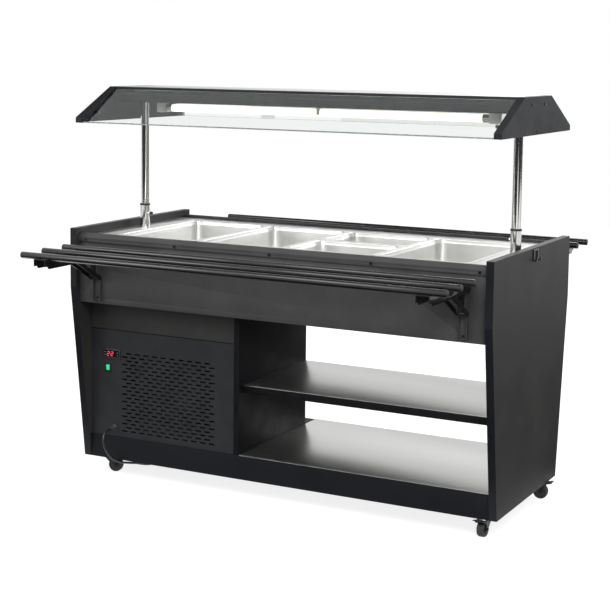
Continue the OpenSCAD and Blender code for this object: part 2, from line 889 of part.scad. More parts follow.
// The bracket and the arm are round about the hinge pin, with this radius.
hinge_eye_r = 13;
bracket_nose = -hinge_y + hinge_eye_r;
bracket_chamfer = 6;
// The strut's lower pin bears on these two edges of the bracket.
pin_seat_y = -hinge_y - strut_pin_r - gap;
pin_seat_z = hinge_z - strut_down + strut_pin_r + gap;
side_play = 0.5;

module bracket_screw_shanks(play) {
    for (x = [-arm_x, arm_x], z = bracket_screw_zs) translate([x, -fascia_y - bracket_t - 1, z])
        rotate([-90, 0, 0]) cylinder(h = screw_l + 1 + play, r = screw_r + play);
}

module wall_brackets() {
    half = bracket_w / 2;
    color(charcoal) both_fronts() difference() {
        for (x = [-arm_x, arm_x]) {
            block([x - half, -fascia_y - bracket_t, bracket_bottom], [x + half, -fascia_y, bracket_top]);
            for (x0 = [x - half, x + half - bracket_t]) along_x(x0, x0 + bracket_t)
                polygon([[-fascia_y - 1, bracket_bottom], [-pin_seat_y, bracket_bottom],
                    [-pin_seat_y, pin_seat_z], [-bracket_nose, pin_seat_z],
                    [-bracket_nose, bracket_top - bracket_chamfer],
                    [-bracket_nose + bracket_chamfer, bracket_top],
                    [-fascia_y - 1, bracket_top]]);
        }
        bracket_screw_shanks(pin_play);
        rod_x(-arm_x - bracket_w, arm_x + bracket_w, hinge_y, hinge_z, hinge_pin_r + pin_play);
    }
}

arm_web_start = 15;
weld_gap = 0.05;
arm_hook_l = 22;
arm_hook_cut = [14, 9];
tray_tube_ys = [for (i = [0 : 2]) hinge_y - first_tube - i * tube_pitch];

// The channel's side, seen along X, with the hook shape at its far end.
module arm_side() {
    end_y = hinge_y - arm_reach;
    step_z = arm_bottom + arm_hook_cut[1];
    polygon([[hinge_y, arm_bottom], [end_y + arm_hook_l, arm_bottom], [end_y + arm_hook_cut[0], step_z],
        [end_y, step_z], [end_y, arm_top], [hinge_y - arm_web_start, arm_top],
        [hinge_y, hinge_z + hinge_eye_r]]);
    translate([hinge_y, hinge_z]) circle(hinge_eye_r);
}

// A tray slide is two arms and three tubes, which lie in saddles across the arms and are welded there.
module tray_slide() {
    half = arm_w / 2;
    saddle_r = tray_tube_r + weld_gap;
    color(black) {
        difference() {
            for (x = [-arm_x, arm_x]) {
                block([x - half, hinge_y - arm_reach, arm_top - arm_t],
                    [x + half, hinge_y - arm_web_start, arm_top]);
                for (x0 = [x - half, x + half - arm_t]) along_x(x0, x0 + arm_t) arm_side();
            }
            rod_x(-arm_x - arm_w, arm_x + arm_w, hinge_y - strut_out, hinge_z, strut_pin_r + pin_play);
            for (y = tray_tube_ys) rod_x(-tray_tube_half, tray_tube_half, y, tray_tube_z, saddle_r);
        }
        for (x = [-arm_x, arm_x]) rod_x(x - half, x + half, hinge_y, hinge_z, hinge_pin_r);
        for (y = tray_tube_ys) difference() {
            rod_x(-tray_tube_half, tray_tube_half, y, tray_tube_z, tray_tube_r);
            rod_x(-tray_tube_half - 1, tray_tube_half + 1, y, tray_tube_z, tray_tube_r - tray_tube_wall);
        }
    }
}

module struts() {
    inner = bracket_w / 2 + side_play;
    color(black) for (x = [-arm_x, arm_x]) {
        for (x0 = [x + inner, x - inner - strut_t]) along_x(x0, x0 + strut_t)
            translate([hinge_y - strut_out, hinge_z]) rotate(-atan2(strut_down, strut_out)) {
                translate([0, -strut_w / 2]) square([strut_len, strut_w]);
                for (s = [0, strut_len]) translate([s, 0]) circle(strut_w / 2);
            }
        rod_x(x - arm_w / 2, x + arm_w / 2, hinge_y - strut_out, hinge_z, strut_pin_r);
        rod_x(x - inner - strut_t, x + inner + strut_t, hinge_y, hinge_z - strut_down, strut_pin_r);
    }
}

module front_tray_slide() {
    tray_slide();
}

module rear_tray_slide() {
    rotate([0, 0, 180]) tray_slide();
}

module front_struts() {
    struts();
}

module rear_struts() {
    rotate([0, 0, 180]) struts();
}

// ---- Casters ----

plate_half = 27;
caster_plate_t = 3;
plate_bottom = base_z - caster_plate_t;
crown_top = 2 * wheel_r + 7;
crown_t = 3;
leg_t = 3;
leg_in = wheel_w / 2 + side_play;
brake_pin_r = 2;
brake_at = [trail + 14, 2 * wheel_r];
brake_reach = trail + 40;
fork_back = -6;
fork_neck = 8;
brake_lug_r = 5;
pedal_start = 6;
pedal_t = 4;
pedal_tip_t = 2.5;
pedal_drop = 1.5;
// Directions in which the wheels trail, as the casters were left standing.
front_left_turn = 10;
front_right_turn = -92;
rear_left_turn = 200;
rear_right_turn = 5;

module at_caster(sx, sy, turn) {
    translate([sx * caster_x, sy * caster_y, 0]) rotate([0, 0, turn]) children();
}

// A profile of the trail direction and Z, drawn out across it.
module across_trail(y0, y1) {
    translate([0, y1, 0]) rotate([90, 0, 0]) linear_extrude(y1 - y0) children();
}

module caster_plates() {
    boss_r = 12;
    color(steel) for (sx = [-1, 1], sy = [-1, 1]) at_caster(sx, sy, 0) difference() {
        union() {
            block([-plate_half, -plate_half, plate_bottom], [plate_half, plate_half, base_z]);
            translate([0, 0, crown_top + gap]) cylinder(h = base_z - crown_top - gap, r = boss_r);
        }
        cylinder(h = base_z + 1, r = stud_r + pin_play);
    }
}

module fork(braked) {
    crown_r = 15;
    axle_boss = 9;
    side = leg_in + leg_t;
    color(steel) {
        translate([0, 0, crown_top - crown_t]) {
            cylinder(h = crown_t, r = crown_r);
            block([0, -side, 0], [trail - 2, side, crown_t]);
        }
        translate([0, 0, crown_top - 1]) cylinder(h = base_z - gap - crown_top + 1, r = stud_r);
        for (y0 = [-side, leg_in]) across_trail(y0, y0 + leg_t) {
            polygon([[fork_back, crown_top], [trail, crown_top], [trail + axle_boss, wheel_r],
                [trail - axle_boss, wheel_r], [fork_back, crown_top - fork_neck]]);
            translate([trail, wheel_r]) circle(axle_boss);
            if (braked) {
                polygon([[0, crown_top], [trail, crown_top], [brake_at.x, brake_at.y + brake_lug_r],
                    [brake_at.x, brake_at.y - brake_lug_r], [0, crown_top - fork_neck]]);
                translate(brake_at) circle(brake_lug_r);
            }
        }
        across_trail(-side - 1, side + 1) translate([trail, wheel_r]) circle(axle_r);
        if (braked) across_trail(-side - 3, side + 3) translate(brake_at) circle(brake_pin_r);
    }
}

module wheel() {
    hub_r = 8;
    dish = 3;
    rim_r = wheel_r - 7;
    half = wheel_w / 2;
    side = [[axle_r + pin_play, half], [hub_r, half], [hub_r, half - dish], [rim_r, half - dish],
        [rim_r, half], [wheel_r - 3, half], [wheel_r, half - 4]];
    color(black) translate([trail, 0, wheel_r]) rotate([90, 0, 0]) rotate_extrude()
        polygon(concat(side, [for (i = [len(side) - 1 : -1 : 0]) [side[i].x, -side[i].y]]));
}

module brake() {
    ear_in = leg_in + leg_t + gap;
    ear_t = 2.5;
    start = brake_at.x + pedal_start;
    top = plate_bottom - pedal_drop;
    under = top - pedal_t;
    color(black) difference() {
        union() {
            for (y0 = [-ear_in - ear_t, ear_in]) across_trail(y0, y0 + ear_t) {
                translate(brake_at) circle(brake_lug_r);
                polygon([[brake_at.x, brake_at.y - brake_lug_r], [start + 3, under - brake_lug_r],
                    [start + 3, under], [brake_at.x, brake_at.y + brake_lug_r]]);
            }
            across_trail(-ear_in - ear_t, ear_in + ear_t)
                polygon([[start, under - 3], [brake_reach, top - pedal_tip_t], [brake_reach, top],
                    [start, under]]);
        }
        across_trail(-ear_in - ear_t - 1, ear_in + ear_t + 1)
            translate(brake_at) circle(brake_pin_r + pin_play);
    }
}

module front_left_fork() {
    at_caster(-1, -1, front_left_turn) fork(false);
}

module front_right_fork() {
    at_caster(1, -1, front_right_turn) fork(true);
}

module rear_left_fork() {
    at_caster(-1, 1, rear_left_turn) fork(false);
}

module rear_right_fork() {
    at_caster(1, 1, rear_right_turn) fork(true);
}

module front_left_wheel() {
    at_caster(-1, -1, front_left_turn) wheel();
}

module front_right_wheel() {
    at_caster(1, -1, front_right_turn) wheel();
}

module rear_left_wheel() {
    at_caster(-1, 1, rear_left_turn) wheel();
}

module rear_right_wheel() {
    at_caster(1, 1, rear_right_turn) wheel();
}

module front_right_brake() {
    at_caster(1, -1, front_right_turn) brake();
}

module rear_right_brake() {
    at_caster(1, 1, rear_right_turn) brake();
}

// ---- Side hook ----

hook_y = [-15, 28];
hook_w = 6;
hook_t = 4;
hook_out = 14;
hook_low = panel_top - 41;
hook_high = panel_top - 3;
hook_lip = 12;

module side_hook() {
    color(black) {
        for (y = [hook_y[0], hook_y[1] - hook_w]) {
            block([half_length, y, hook_low], [half_length + hook_t, y + hook_w, hook_high]);
            block([half_length, y, hook_low], [half_length + hook_out, y + hook_w, hook_low + hook_t]);
            block([half_length + hook_out - hook_t, y, hook_low],
                [half_length + hook_out, y + hook_w, hook_low + hook_lip]);
        }
        block([half_length, hook_y[0], hook_high - hook_w], [half_length + hook_t, hook_y[1], hook_high]);
    }
}

// ---- Supply cord ----

cord_r = 4;
relief_neck_r = 7;
relief_l = 25;
// Points that the cord passes, from its strain relief down under the kick panel and back along the floor.
cord_route = [[-644, -302, 175], [-644, -318, 175], [-643, -333, 170], [-642, -345, 159],
    [-640, -350, 144], [-638, -348, 127], [-635, -341, 109], [-632, -330, 92], [-629, -315, 77],
    [-626, -298, 65], [-623, -279, 56], [-620, -258, 49], [-618, -236, 43], [-615, -213, 37],
    [-613, -189, 31], [-611, -164, 23], [-609, -138, 15], [-607, -110, 9], [-605, -80, 5],
    [-604, -50, 4.1], [-603, -18, 4.1], [-602, 16, 4.1], [-602, 52, 4.1], [-602, 90, 4.1],
    [-602, 130, 4.1], [-603, 172, 4.1], [-605, 216, 4.1], [-608, 260, 4.1], [-612, 304, 4.1],
    [-616, 346, 4.1], [-618, 386, 4.1], [-618, 422, 4.1]];
coil_at = [-559, 430];
coil_r = 59;
coil_step = 9.3;
coil_turns = 3;
coil_floor = 4.1;
coil_lift = 8.7;
coil_tail = 44;
coil_rings = 24;

// A smooth curve through the points p, at the share t of the stretch after point i.
function curve_point(p, i, t) = let (
        a = p[max(i - 1, 0)], b = p[i], c = p[i + 1], d = p[min(i + 2, len(p) - 1)])
    (2 * b + (c - a) * t + (2 * a - 5 * b + 4 * c - d) * t ^ 2 + (3 * b - a - 3 * c + d) * t ^ 3) / 2;

function unit(v) = v / norm(v);

// One ring of a tube round the point i; side is the direction that the ring's first corner leans to.
function ring_points(p, i, first, last, side, sides, r) = let (
        along = i == 0 ? first : i == len(p) - 1 ? last : unit(p[i + 1] - p[i - 1]),
        u = unit(side - (side * along) * along),
        v = cross(along, u))
    [for (k = [0 : sides - 1]) p[i] + r * (cos(360 * k / sides) * u + sin(360 * k / sides) * v)];

module tube_along(p, first, last, side, sides, r) {
    n = len(p);
    points = [for (i = [0 : n - 1]) each ring_points(p, i, first, last, side, sides, r)];
    walls = [for (i = [0 : n - 2], k = [0 : sides - 1])
        let (a = i * sides + k, b = i * sides + (k + 1) % sides)
        each [[a, a + sides, b], [b, a + sides, b + sides]]];
    ends = [[for (k = [0 : sides - 1]) k], [for (k = [sides - 1 : -1 : 0]) (n - 1) * sides + k]];
    polyhedron(points = points, faces = concat(walls, ends), convexity = 10);
}

// The coil winds in on the floor, climbs a layer in the half turn where it reverses, and winds out again.
function coil_radius(t) = coil_r - coil_step * (coil_turns - sqrt((t - coil_turns) ^ 2 + 0.04));
function coil_rise(t) = let (s = min(1, max(0, 2 * (t - coil_turns) + 0.5))) coil_lift * s * s * (3 - 2 * s);
function coil_point(t) = [coil_at.x + coil_radius(t) * cos(180 - 360 * t),
    coil_at.y + coil_radius(t) * sin(180 - 360 * t), coil_floor + coil_rise(t)];

cord_points = concat([for (i = [0 : len(cord_route) - 2], t = [0, 0.5]) curve_point(cord_route, i, t)],
    [cord_route[len(cord_route) - 1]]);
coil_points = concat([cord_route[len(cord_route) - 1]],
    [for (i = [0 : 2 * coil_turns * coil_rings]) coil_point(i / coil_rings)],
    [[coil_at.x - coil_r, coil_at.y + coil_tail, coil_floor + coil_lift]]);

// Least distance between two places of a tube's middle that lie at least skip points apart.
function own_distance(p, skip) = min([for (i = [0 : len(p) - 1 - skip])
    min([for (j = [i + skip : len(p) - 1]) norm(p[i] - p[j])])]);

module strain_relief() {
    flange_r = 11;
    relief_flange_t = 2;
    color(black) translate([cord_hole_mid.x, -grille_y, cord_hole_mid.y]) rotate([90, 0, 0]) {
        translate([0, 0, -grille_t - 6]) cylinder(h = grille_t + 7, r = relief_neck_r);
        cylinder(h = relief_flange_t, r = flange_r);
        translate([0, 0, relief_flange_t]) cylinder(h = relief_l - relief_flange_t, r1 = 8, r2 = cord_r + 1);
    }
}

module power_cord() {
    color(black) tube_along(cord_points, [0, -1, 0], [0, 1, 0], [1, 0, 0], 8, cord_r);
}

module cord_coil() {
    echo(coil_gap = own_distance(coil_points, coil_rings / 2) - 2 * cord_r);
    color(black) tube_along(coil_points, [0, 1, 0], [0, 1, 0], [0, 0, 1], 6, cord_r);
}

module plug() {
    plug_r = 12.5;
    neck_l = 14;
    plug_l = 36;
    prong_r = 2.4;
    prong_l = 19;
    prong_pitch = 19;
    color(black) translate(coil_points[len(coil_points) - 1]) rotate([-90, 0, 0]) {
        cylinder(h = neck_l, r1 = cord_r + 1, r2 = plug_r - 2);
        translate([0, 0, neck_l]) cylinder(h = plug_l - neck_l, r = plug_r);
        for (s = [-1, 1]) translate([s * prong_pitch / 2, 0, plug_l - 1])
            cylinder(h = prong_l + 1, r = prong_r);
    }
}

left_end_panel();
right_end_panel();
fascia_panels();
top_rails();
cabinet_screws();
base_deck();
kick_panels();
middle_shelf();
shelf_sheets();
divider_panel();
bay_panels();
grille_panel();
control_housings();
display_window();
rocker_switch();
well_body();
well_liner();
pan_bars();
full_pan_left();
full_pan_mid();
half_pan_front();
half_pan_rear();
full_pan_right();
compressor();
condenser();
fan_shroud();
fan_motor();
fan_blade();
refrigerant_lines();
post_sleeves();
post_tubes();
left_thumb_screw();
right_thumb_screw();
canopy_top();
canopy_cheeks();
canopy_glass();
canopy_fixings();
lamp_tube();
lamp_holders();
wall_brackets();
front_tray_slide();
front_struts();
rear_tray_slide();
rear_struts();
caster_plates();
front_left_fork();
front_right_fork();
rear_left_fork();
rear_right_fork();
front_left_wheel();
front_right_wheel();
rear_left_wheel();
rear_right_wheel();
front_right_brake();
rear_right_brake();
side_hook();
strain_relief();
power_cord();
cord_coil();
plug();
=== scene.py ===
import json
import math

import bmesh
import bpy
import numpy as np
from mathutils import Matrix, Vector


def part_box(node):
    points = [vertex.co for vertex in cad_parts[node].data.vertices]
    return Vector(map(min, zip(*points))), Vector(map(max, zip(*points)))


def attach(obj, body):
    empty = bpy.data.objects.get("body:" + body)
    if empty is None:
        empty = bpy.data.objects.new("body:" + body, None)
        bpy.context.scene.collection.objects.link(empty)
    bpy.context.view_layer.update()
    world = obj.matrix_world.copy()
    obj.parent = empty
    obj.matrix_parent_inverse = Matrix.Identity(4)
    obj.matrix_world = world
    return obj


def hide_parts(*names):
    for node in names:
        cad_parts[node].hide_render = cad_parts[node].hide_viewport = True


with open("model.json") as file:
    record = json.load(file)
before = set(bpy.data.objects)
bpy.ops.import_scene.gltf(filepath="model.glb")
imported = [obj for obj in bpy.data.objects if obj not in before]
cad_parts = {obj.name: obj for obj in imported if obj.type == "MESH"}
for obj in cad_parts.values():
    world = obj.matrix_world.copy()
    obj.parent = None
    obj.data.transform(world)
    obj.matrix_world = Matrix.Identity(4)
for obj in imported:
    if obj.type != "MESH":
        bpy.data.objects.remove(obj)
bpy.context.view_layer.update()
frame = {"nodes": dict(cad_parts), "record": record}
nodes = frame["nodes"]
bodyOf = {node: body for body, group in frame["record"]["behaviour"]["bodies"].items() for node in group}
slotOf = {part["node"]: part["material_slot"] for part in frame["record"]["subparts"]}
mm = 0.001
print("frame loaded")


def hexColor(code):
    # sRGB hex to the linear value, with alpha 1, that Blender's sockets take
    s = np.array([int(code[i:i + 2], 16) for i in (1, 3, 5)]) / 255
    linear = np.where(s <= 0.04045, s / 12.92, ((s + 0.055) / 1.055) ** 2.4)
    return (*linear.tolist(), 1.0)


def addNode(tree, kind, inputs=None, **settings):
    # one node with its settings; an input is a plain value, or another node's output to link
    node = tree.nodes.new(kind)
    for key, value in settings.items():
        setattr(node, key, value)
    for key, value in (inputs or {}).items():
        if isinstance(value, bpy.types.NodeSocket):
            tree.links.new(value, node.inputs[key])
        else:
            node.inputs[key].default_value = value
    return node


def makeFinish(name, look, **sockets):
    # a finish whose colour and roughness follow one pattern, with a second, finer pattern for its relief;
    # sizes and depths in look are millimetres of the real thing
    material = bpy.data.materials.new(name)
    material.use_nodes = True
    tree = material.node_tree
    tree.nodes.clear()
    shader = addNode(tree, "ShaderNodeBsdfPrincipled", {k.replace("_", " "): v for k, v in sockets.items()})
    addNode(tree, "ShaderNodeOutputMaterial", {"Surface": shader.outputs[0]})
    # object coordinates are metres from the middle of the floor; stretch draws a pattern out along an axis
    place = addNode(tree, "ShaderNodeTexCoord").outputs["Object"]
    drawn = addNode(tree, "ShaderNodeMapping", {"Vector": place, "Scale": look.get("stretch", (1, 1, 1))}).outputs[0]
    scale = 1 / (look["size"] * mm)
    if look.get("cells"):
        cells = addNode(tree, "ShaderNodeTexVoronoi", {"Vector": drawn, "Scale": scale})
        pattern = addNode(tree, "ShaderNodeSeparateColor", {"Color": cells.outputs["Color"]}).outputs[0]
    else:
        cloud = addNode(tree, "ShaderNodeTexNoise", {"Vector": drawn, "Scale": scale, "Detail": look.get("detail", 3.0),
                                                     "Roughness": look.get("fine", 0.5)})
        pattern = addNode(tree, "ShaderNodeMapRange", {"Value": cloud.outputs["Fac"], "From Min": 0.3,
                                                       "From Max": 0.7}).outputs[0]
    first, second = (hexColor(code) for code in look["colors"])
    colour = addNode(tree, "ShaderNodeMix", {0: pattern, 6: first, 7: second}, data_type="RGBA").outputs[2]
    tree.links.new(colour, shader.inputs["Base Color"])
    low, high = look["roughness"]
    rough = addNode(tree, "ShaderNodeMapRange", {"Value": pattern, "To Min": low, "To Max": high})
    tree.links.new(rough.outputs[0], shader.inputs["Roughness"])
    grain = addNode(tree, "ShaderNodeTexNoise", {"Vector": drawn, "Scale": 1 / (look["grain"] * mm), "Detail": 2.0})
    bump = addNode(tree, "ShaderNodeBump", {"Height": grain.outputs["Fac"], "Distance": look["depth"] * mm,
                                            "Strength": look.get("strength", 0.4)})
    tree.links.new(bump.outputs[0], shader.inputs["Normal"])
    return material


def shapePiece(name, points, faces, material, body, slot, smoothAngle=35, flatFaces=False):
    # one mesh from an array of points and a list of faces; doubles are merged and faces point outwards;
    # flatFaces keeps the light on large flat faces even where their edges are rounded
    mesh = bpy.data.meshes.new(name)
    mesh.from_pydata(np.asarray(points, float).reshape(-1, 3).tolist(), [], faces)
    edit = bmesh.new()
    edit.from_mesh(mesh)
    bmesh.ops.remove_doubles(edit, verts=edit.verts, dist=1e-6)
    bmesh.ops.recalc_face_normals(edit, faces=edit.faces)
    edit.to_mesh(mesh)
    edit.free()
    mesh.materials.append(material)
    piece = bpy.data.objects.new(name, mesh)
    bpy.context.scene.collection.objects.link(piece)
    mesh.shade_smooth()
    mesh.set_sharp_from_angle(angle=math.radians(smoothAngle))
    if flatFaces:
        weighted = piece.modifiers.new("normals", "WEIGHTED_NORMAL")
        weighted.weight, weighted.keep_sharp = 100, True
    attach(piece, body)
    return piece


def gridFaces(rows, columns, capped=True):
    # four-sided faces over a grid of rows x columns whose last column joins the first;
    # capped covers the first and the last row
    i = np.arange(rows - 1)[:, None] * columns
    j = np.arange(columns)[None, :]
    k = (j + 1) % columns
    faces = np.stack([i + j, i + k, i + columns + k, i + columns + j], -1).reshape(-1, 4).tolist()
    if capped:
        faces += [np.arange(columns).tolist(), (np.arange(columns)[::-1] + (rows - 1) * columns).tolist()]
    return faces


def joinShapes(shapes):
    # several (points, faces) as one
    points, faces, count = [], [], 0
    for p, f in shapes:
        p = np.asarray(p, float).reshape(-1, 3)
        points.append(p)
        faces += [[n + count for n in face] for face in f]
        count += len(p)
    return np.concatenate(points), faces


def roundedOutline(corners, radius, inset, steps=6):
    # a convex polygon with round corners, drawn in by inset: arcs of radius - inset about fixed centres
    corners = np.asarray(corners, float)
    before = corners - np.roll(corners, 1, 0)
    after = np.roll(corners, -1, 0) - corners
    area = np.sum(corners[:, 0] * np.roll(corners, -1, 0)[:, 1] - corners[:, 1] * np.roll(corners, -1, 0)[:, 0])
    turn = 1 if area > 0 else -1
    normals = [np.stack([v[:, 1], -v[:, 0]], 1) * turn / np.linalg.norm(v, axis=1)[:, None] for v in (before, after)]
    middle = normals[0] + normals[1]
    middle /= np.sum(middle * normals[0], 1)[:, None]
    centres = corners - middle * radius
    a0 = np.arctan2(normals[0][:, 1], normals[0][:, 0])
    a1 = np.arctan2(normals[1][:, 1], normals[1][:, 0])
    sweep = (a1 - a0 + math.pi) % (2 * math.pi) - math.pi
    a = a0[:, None] + sweep[:, None] * np.linspace(0, 1, steps)[None, :]
    arc = np.stack([np.cos(a), np.sin(a)], -1) * (radius - inset)
    return (centres[:, None, :] + arc).reshape(-1, 2)


def slabShape(corners, low, high, edge, axis=0, cornerRadius=None, steps=5):
    # a board: its outline lies across the axis, and a quarter round of radius edge runs round both its faces
    radius = max(edge, cornerRadius or edge) * 1.001
    a = np.linspace(0, math.pi / 2, 5)
    insets = np.concatenate([edge * (1 - np.sin(a)), edge * (1 - np.sin(a[::-1]))])
    heights = np.concatenate([low + edge * (1 - np.cos(a)), high - edge * (1 - np.cos(a[::-1]))])
    rings = []
    for inset, height in zip(insets, heights):
        flat = roundedOutline(corners, radius, inset, steps)
        rings.append(np.insert(flat, axis, height, axis=1))
    return np.array(rings), gridFaces(len(rings), len(rings[0]))


def boxShape(low, high, edge, axis=0, cornerRadius=None):
    # a block with round edges between two opposite corners, drawn along the axis
    low, high = np.asarray(low, float), np.asarray(high, float)
    u, v = [i for i in range(3) if i != axis]
    corners = [(low[u], low[v]), (high[u], low[v]), (high[u], high[v]), (low[u], high[v])]
    return slabShape(corners, low[axis], high[axis], edge, axis, cornerRadius)


def turnedShape(profile, centre, axis, around=48):
    # a turned piece: profile is (distance along the axis, radius); it starts and ends on the axis
    profile = np.asarray(profile, float)
    a = np.linspace(0, 2 * math.pi, around, endpoint=False)
    axis = np.asarray(axis, float) / np.linalg.norm(axis)
    side = np.cross(axis, (0, 0, 1) if abs(axis[2]) < 0.9 else (1, 0, 0))
    side /= np.linalg.norm(side)
    other = np.cross(axis, side)
    ring = np.cos(a)[:, None] * side + np.sin(a)[:, None] * other
    points = np.asarray(centre, float) + profile[:, 0, None, None] * axis + profile[:, 1, None, None] * ring
    return points, gridFaces(len(profile), around, capped=False)


def roundedProfile(profile, radius, steps=5):
    # rounds each inner corner of an open (x, y) profile with a curve that starts radius before it
    profile = np.asarray(profile, float)
    out = [profile[:1]]
    for before, corner, after in zip(profile[:-2], profile[1:-1], profile[2:]):
        a, b = before - corner, after - corner
        la, lb = np.linalg.norm(a), np.linalg.norm(b)
        start = corner + a / la * min(radius, la / 2)
        end = corner + b / lb * min(radius, lb / 2)
        t = np.linspace(0, 1, steps)[:, None]
        out.append((1 - t) ** 2 * start + 2 * t * (1 - t) * corner + t ** 2 * end)
    return np.concatenate(out + [profile[-1:]])


# metres, degrees, and millimetres for the lens and its sensor
camera = {"at": (2.2565, -4.4487, 1.4891), "heading": 27.43, "pitch": -6.319, "roll": 0.677, "lens": 87.49,
          "sensor": 36, "shiftY": -0.15, "clip": (0.1, 60)}


def makeCamera():
    # the photograph's uprights stay upright; a modest shift keeps part of that and leaves room in the other views
    heading, pitch, roll = (math.radians(camera[k]) for k in ("heading", "pitch", "roll"))
    forward = Vector((-math.sin(heading) * math.cos(pitch), math.cos(heading) * math.cos(pitch), math.sin(pitch)))
    level = Vector((math.cos(heading), math.sin(heading), 0))
    upright = level.cross(forward)
    right = level * math.cos(roll) + upright * math.sin(roll)
    up = upright * math.cos(roll) - level * math.sin(roll)
    turn = Matrix((right, up, -forward)).transposed().to_4x4()
    data = bpy.data.cameras.new("camera")
    data.lens, data.sensor_width, data.shift_y = camera["lens"], camera["sensor"], camera["shiftY"]
    data.clip_start, data.clip_end = camera["clip"]
    made = bpy.data.objects.new("camera", data)
    made.matrix_world = Matrix.Translation(Vector(camera["at"])) @ turn
    bpy.context.scene.collection.objects.link(made)
    bpy.context.scene.camera = made


makeCamera()
print("camera placed")


# points that the cord passes, from its strain relief down under the kick panel and back along the floor;
# millimetres, apart from the diameter
cord = {
    "diameter": 8 * mm,
    "route": [(-644, -302, 175), (-644, -318, 175), (-643, -333, 170), (-642, -345, 159),
              (-640, -350, 144), (-638, -348, 127), (-635, -341, 109), (-632, -330, 92), (-629, -315, 77),
              (-626, -298, 65), (-623, -279, 56), (-620, -258, 49), (-618, -236, 43), (-615, -213, 37),
              (-613, -189, 31), (-611, -164, 23), (-609, -138, 15), (-607, -110, 9), (-605, -80, 5),
              (-604, -50, 4.1), (-603, -18, 4.1), (-602, 16, 4.1), (-602, 52, 4.1), (-602, 90, 4.1),
              (-602, 130, 4.1), (-603, 172, 4.1), (-605, 216, 4.1), (-608, 260, 4.1), (-612, 304, 4.1),
              (-616, 346, 4.1), (-618, 386, 4.1), (-618, 422, 4.1)],
    "coilAt": (-559, 430), "coilRadius": 59, "coilStep": 9.3, "coilTurns": 3,
    "coilFloor": 4.1, "coilLift": 8.7, "coilTail": 44, "perStretch": 6, "perTurn": 64,
}
# what sits on the cord, in millimetres; profiles are (along, radius), and the hollow is (where, depth, spread)
fittings = {
    "flange": [(-8, 0), (-8, 6.9), (0, 6.9), (0, 10.6), (1.4, 11), (2, 10.4)],
    "relief": 25, "taper": (8.2, 5), "ribDepth": 0.9, "ribPitch": 3.2,
    "grip": 36, "gripRadius": (5, 7.4), "gripSlope": 13, "hollow": (22, 1.1, 6), "gripEase": 0.8,
    "pin": [(35, 0), (35, 2.0), (45, 2.0), (45.2, 2.4), (54.6, 2.4), (54.9, 0)], "pinEase": 0.8, "pinAt": 9.5,
    "strapRoom": (4.6, 4.4), "strapThick": 1.1, "strapHalf": 4, "strapFoot": (0.02, 0.08), "strapCorner": (4, 3),
    "buckle": ((46, -6, 0.6), (57, 6, 3.4)), "buckleEdge": 0.8, "buckleCorner": 1.2,
}


def cordLine():
    # the route as a smooth curve through its points, then a coil that winds in, climbs and winds out:
    # radius = R - step * (turns - sqrt((t - turns)^2 + 0.04)), where 0.04 softens the turn between in and out
    p = np.array(cord["route"], float)
    a, b, c, d = p[np.r_[0, 0:len(p) - 2]], p[:-1], p[1:], p[np.r_[2:len(p), len(p) - 1]]
    t = np.linspace(0, 1, cord["perStretch"], endpoint=False)[None, :, None]
    a, b, c, d = (v[:, None, :] for v in (a, b, c, d))
    free = (2 * b + (c - a) * t + (2 * a - 5 * b + 4 * c - d) * t ** 2 + (3 * b - a - 3 * c + d) * t ** 3) / 2
    turns = cord["coilTurns"]
    t = np.linspace(0, 2 * turns, 2 * turns * cord["perTurn"] + 1)
    radius = cord["coilRadius"] - cord["coilStep"] * (turns - np.sqrt((t - turns) ** 2 + 0.04))
    s = np.clip(2 * (t - turns) + 0.5, 0, 1)
    height = cord["coilFloor"] + cord["coilLift"] * s * s * (3 - 2 * s)
    angle = math.pi - 2 * math.pi * t
    coil = np.stack([cord["coilAt"][0] + radius * np.cos(angle), cord["coilAt"][1] + radius * np.sin(angle), height], 1)
    tail = np.array([[cord["coilAt"][0] - cord["coilRadius"], cord["coilAt"][1] + y, height[-1]]
                     for y in np.linspace(0, cord["coilTail"], 6)[1:]])
    return np.concatenate([free.reshape(-1, 3), p[-1:], coil, tail]) * mm


# plasticised PVC sheath, extruded: soft black with a faint waxy sheen and a little dust
pvcSheath = makeFinish("pvcSheath", {
    "size": 18, "colors": ("#141415", "#202021"), "roughness": (0.36, 0.52), "grain": 3, "depth": 0.03,
}, IOR=1.53)


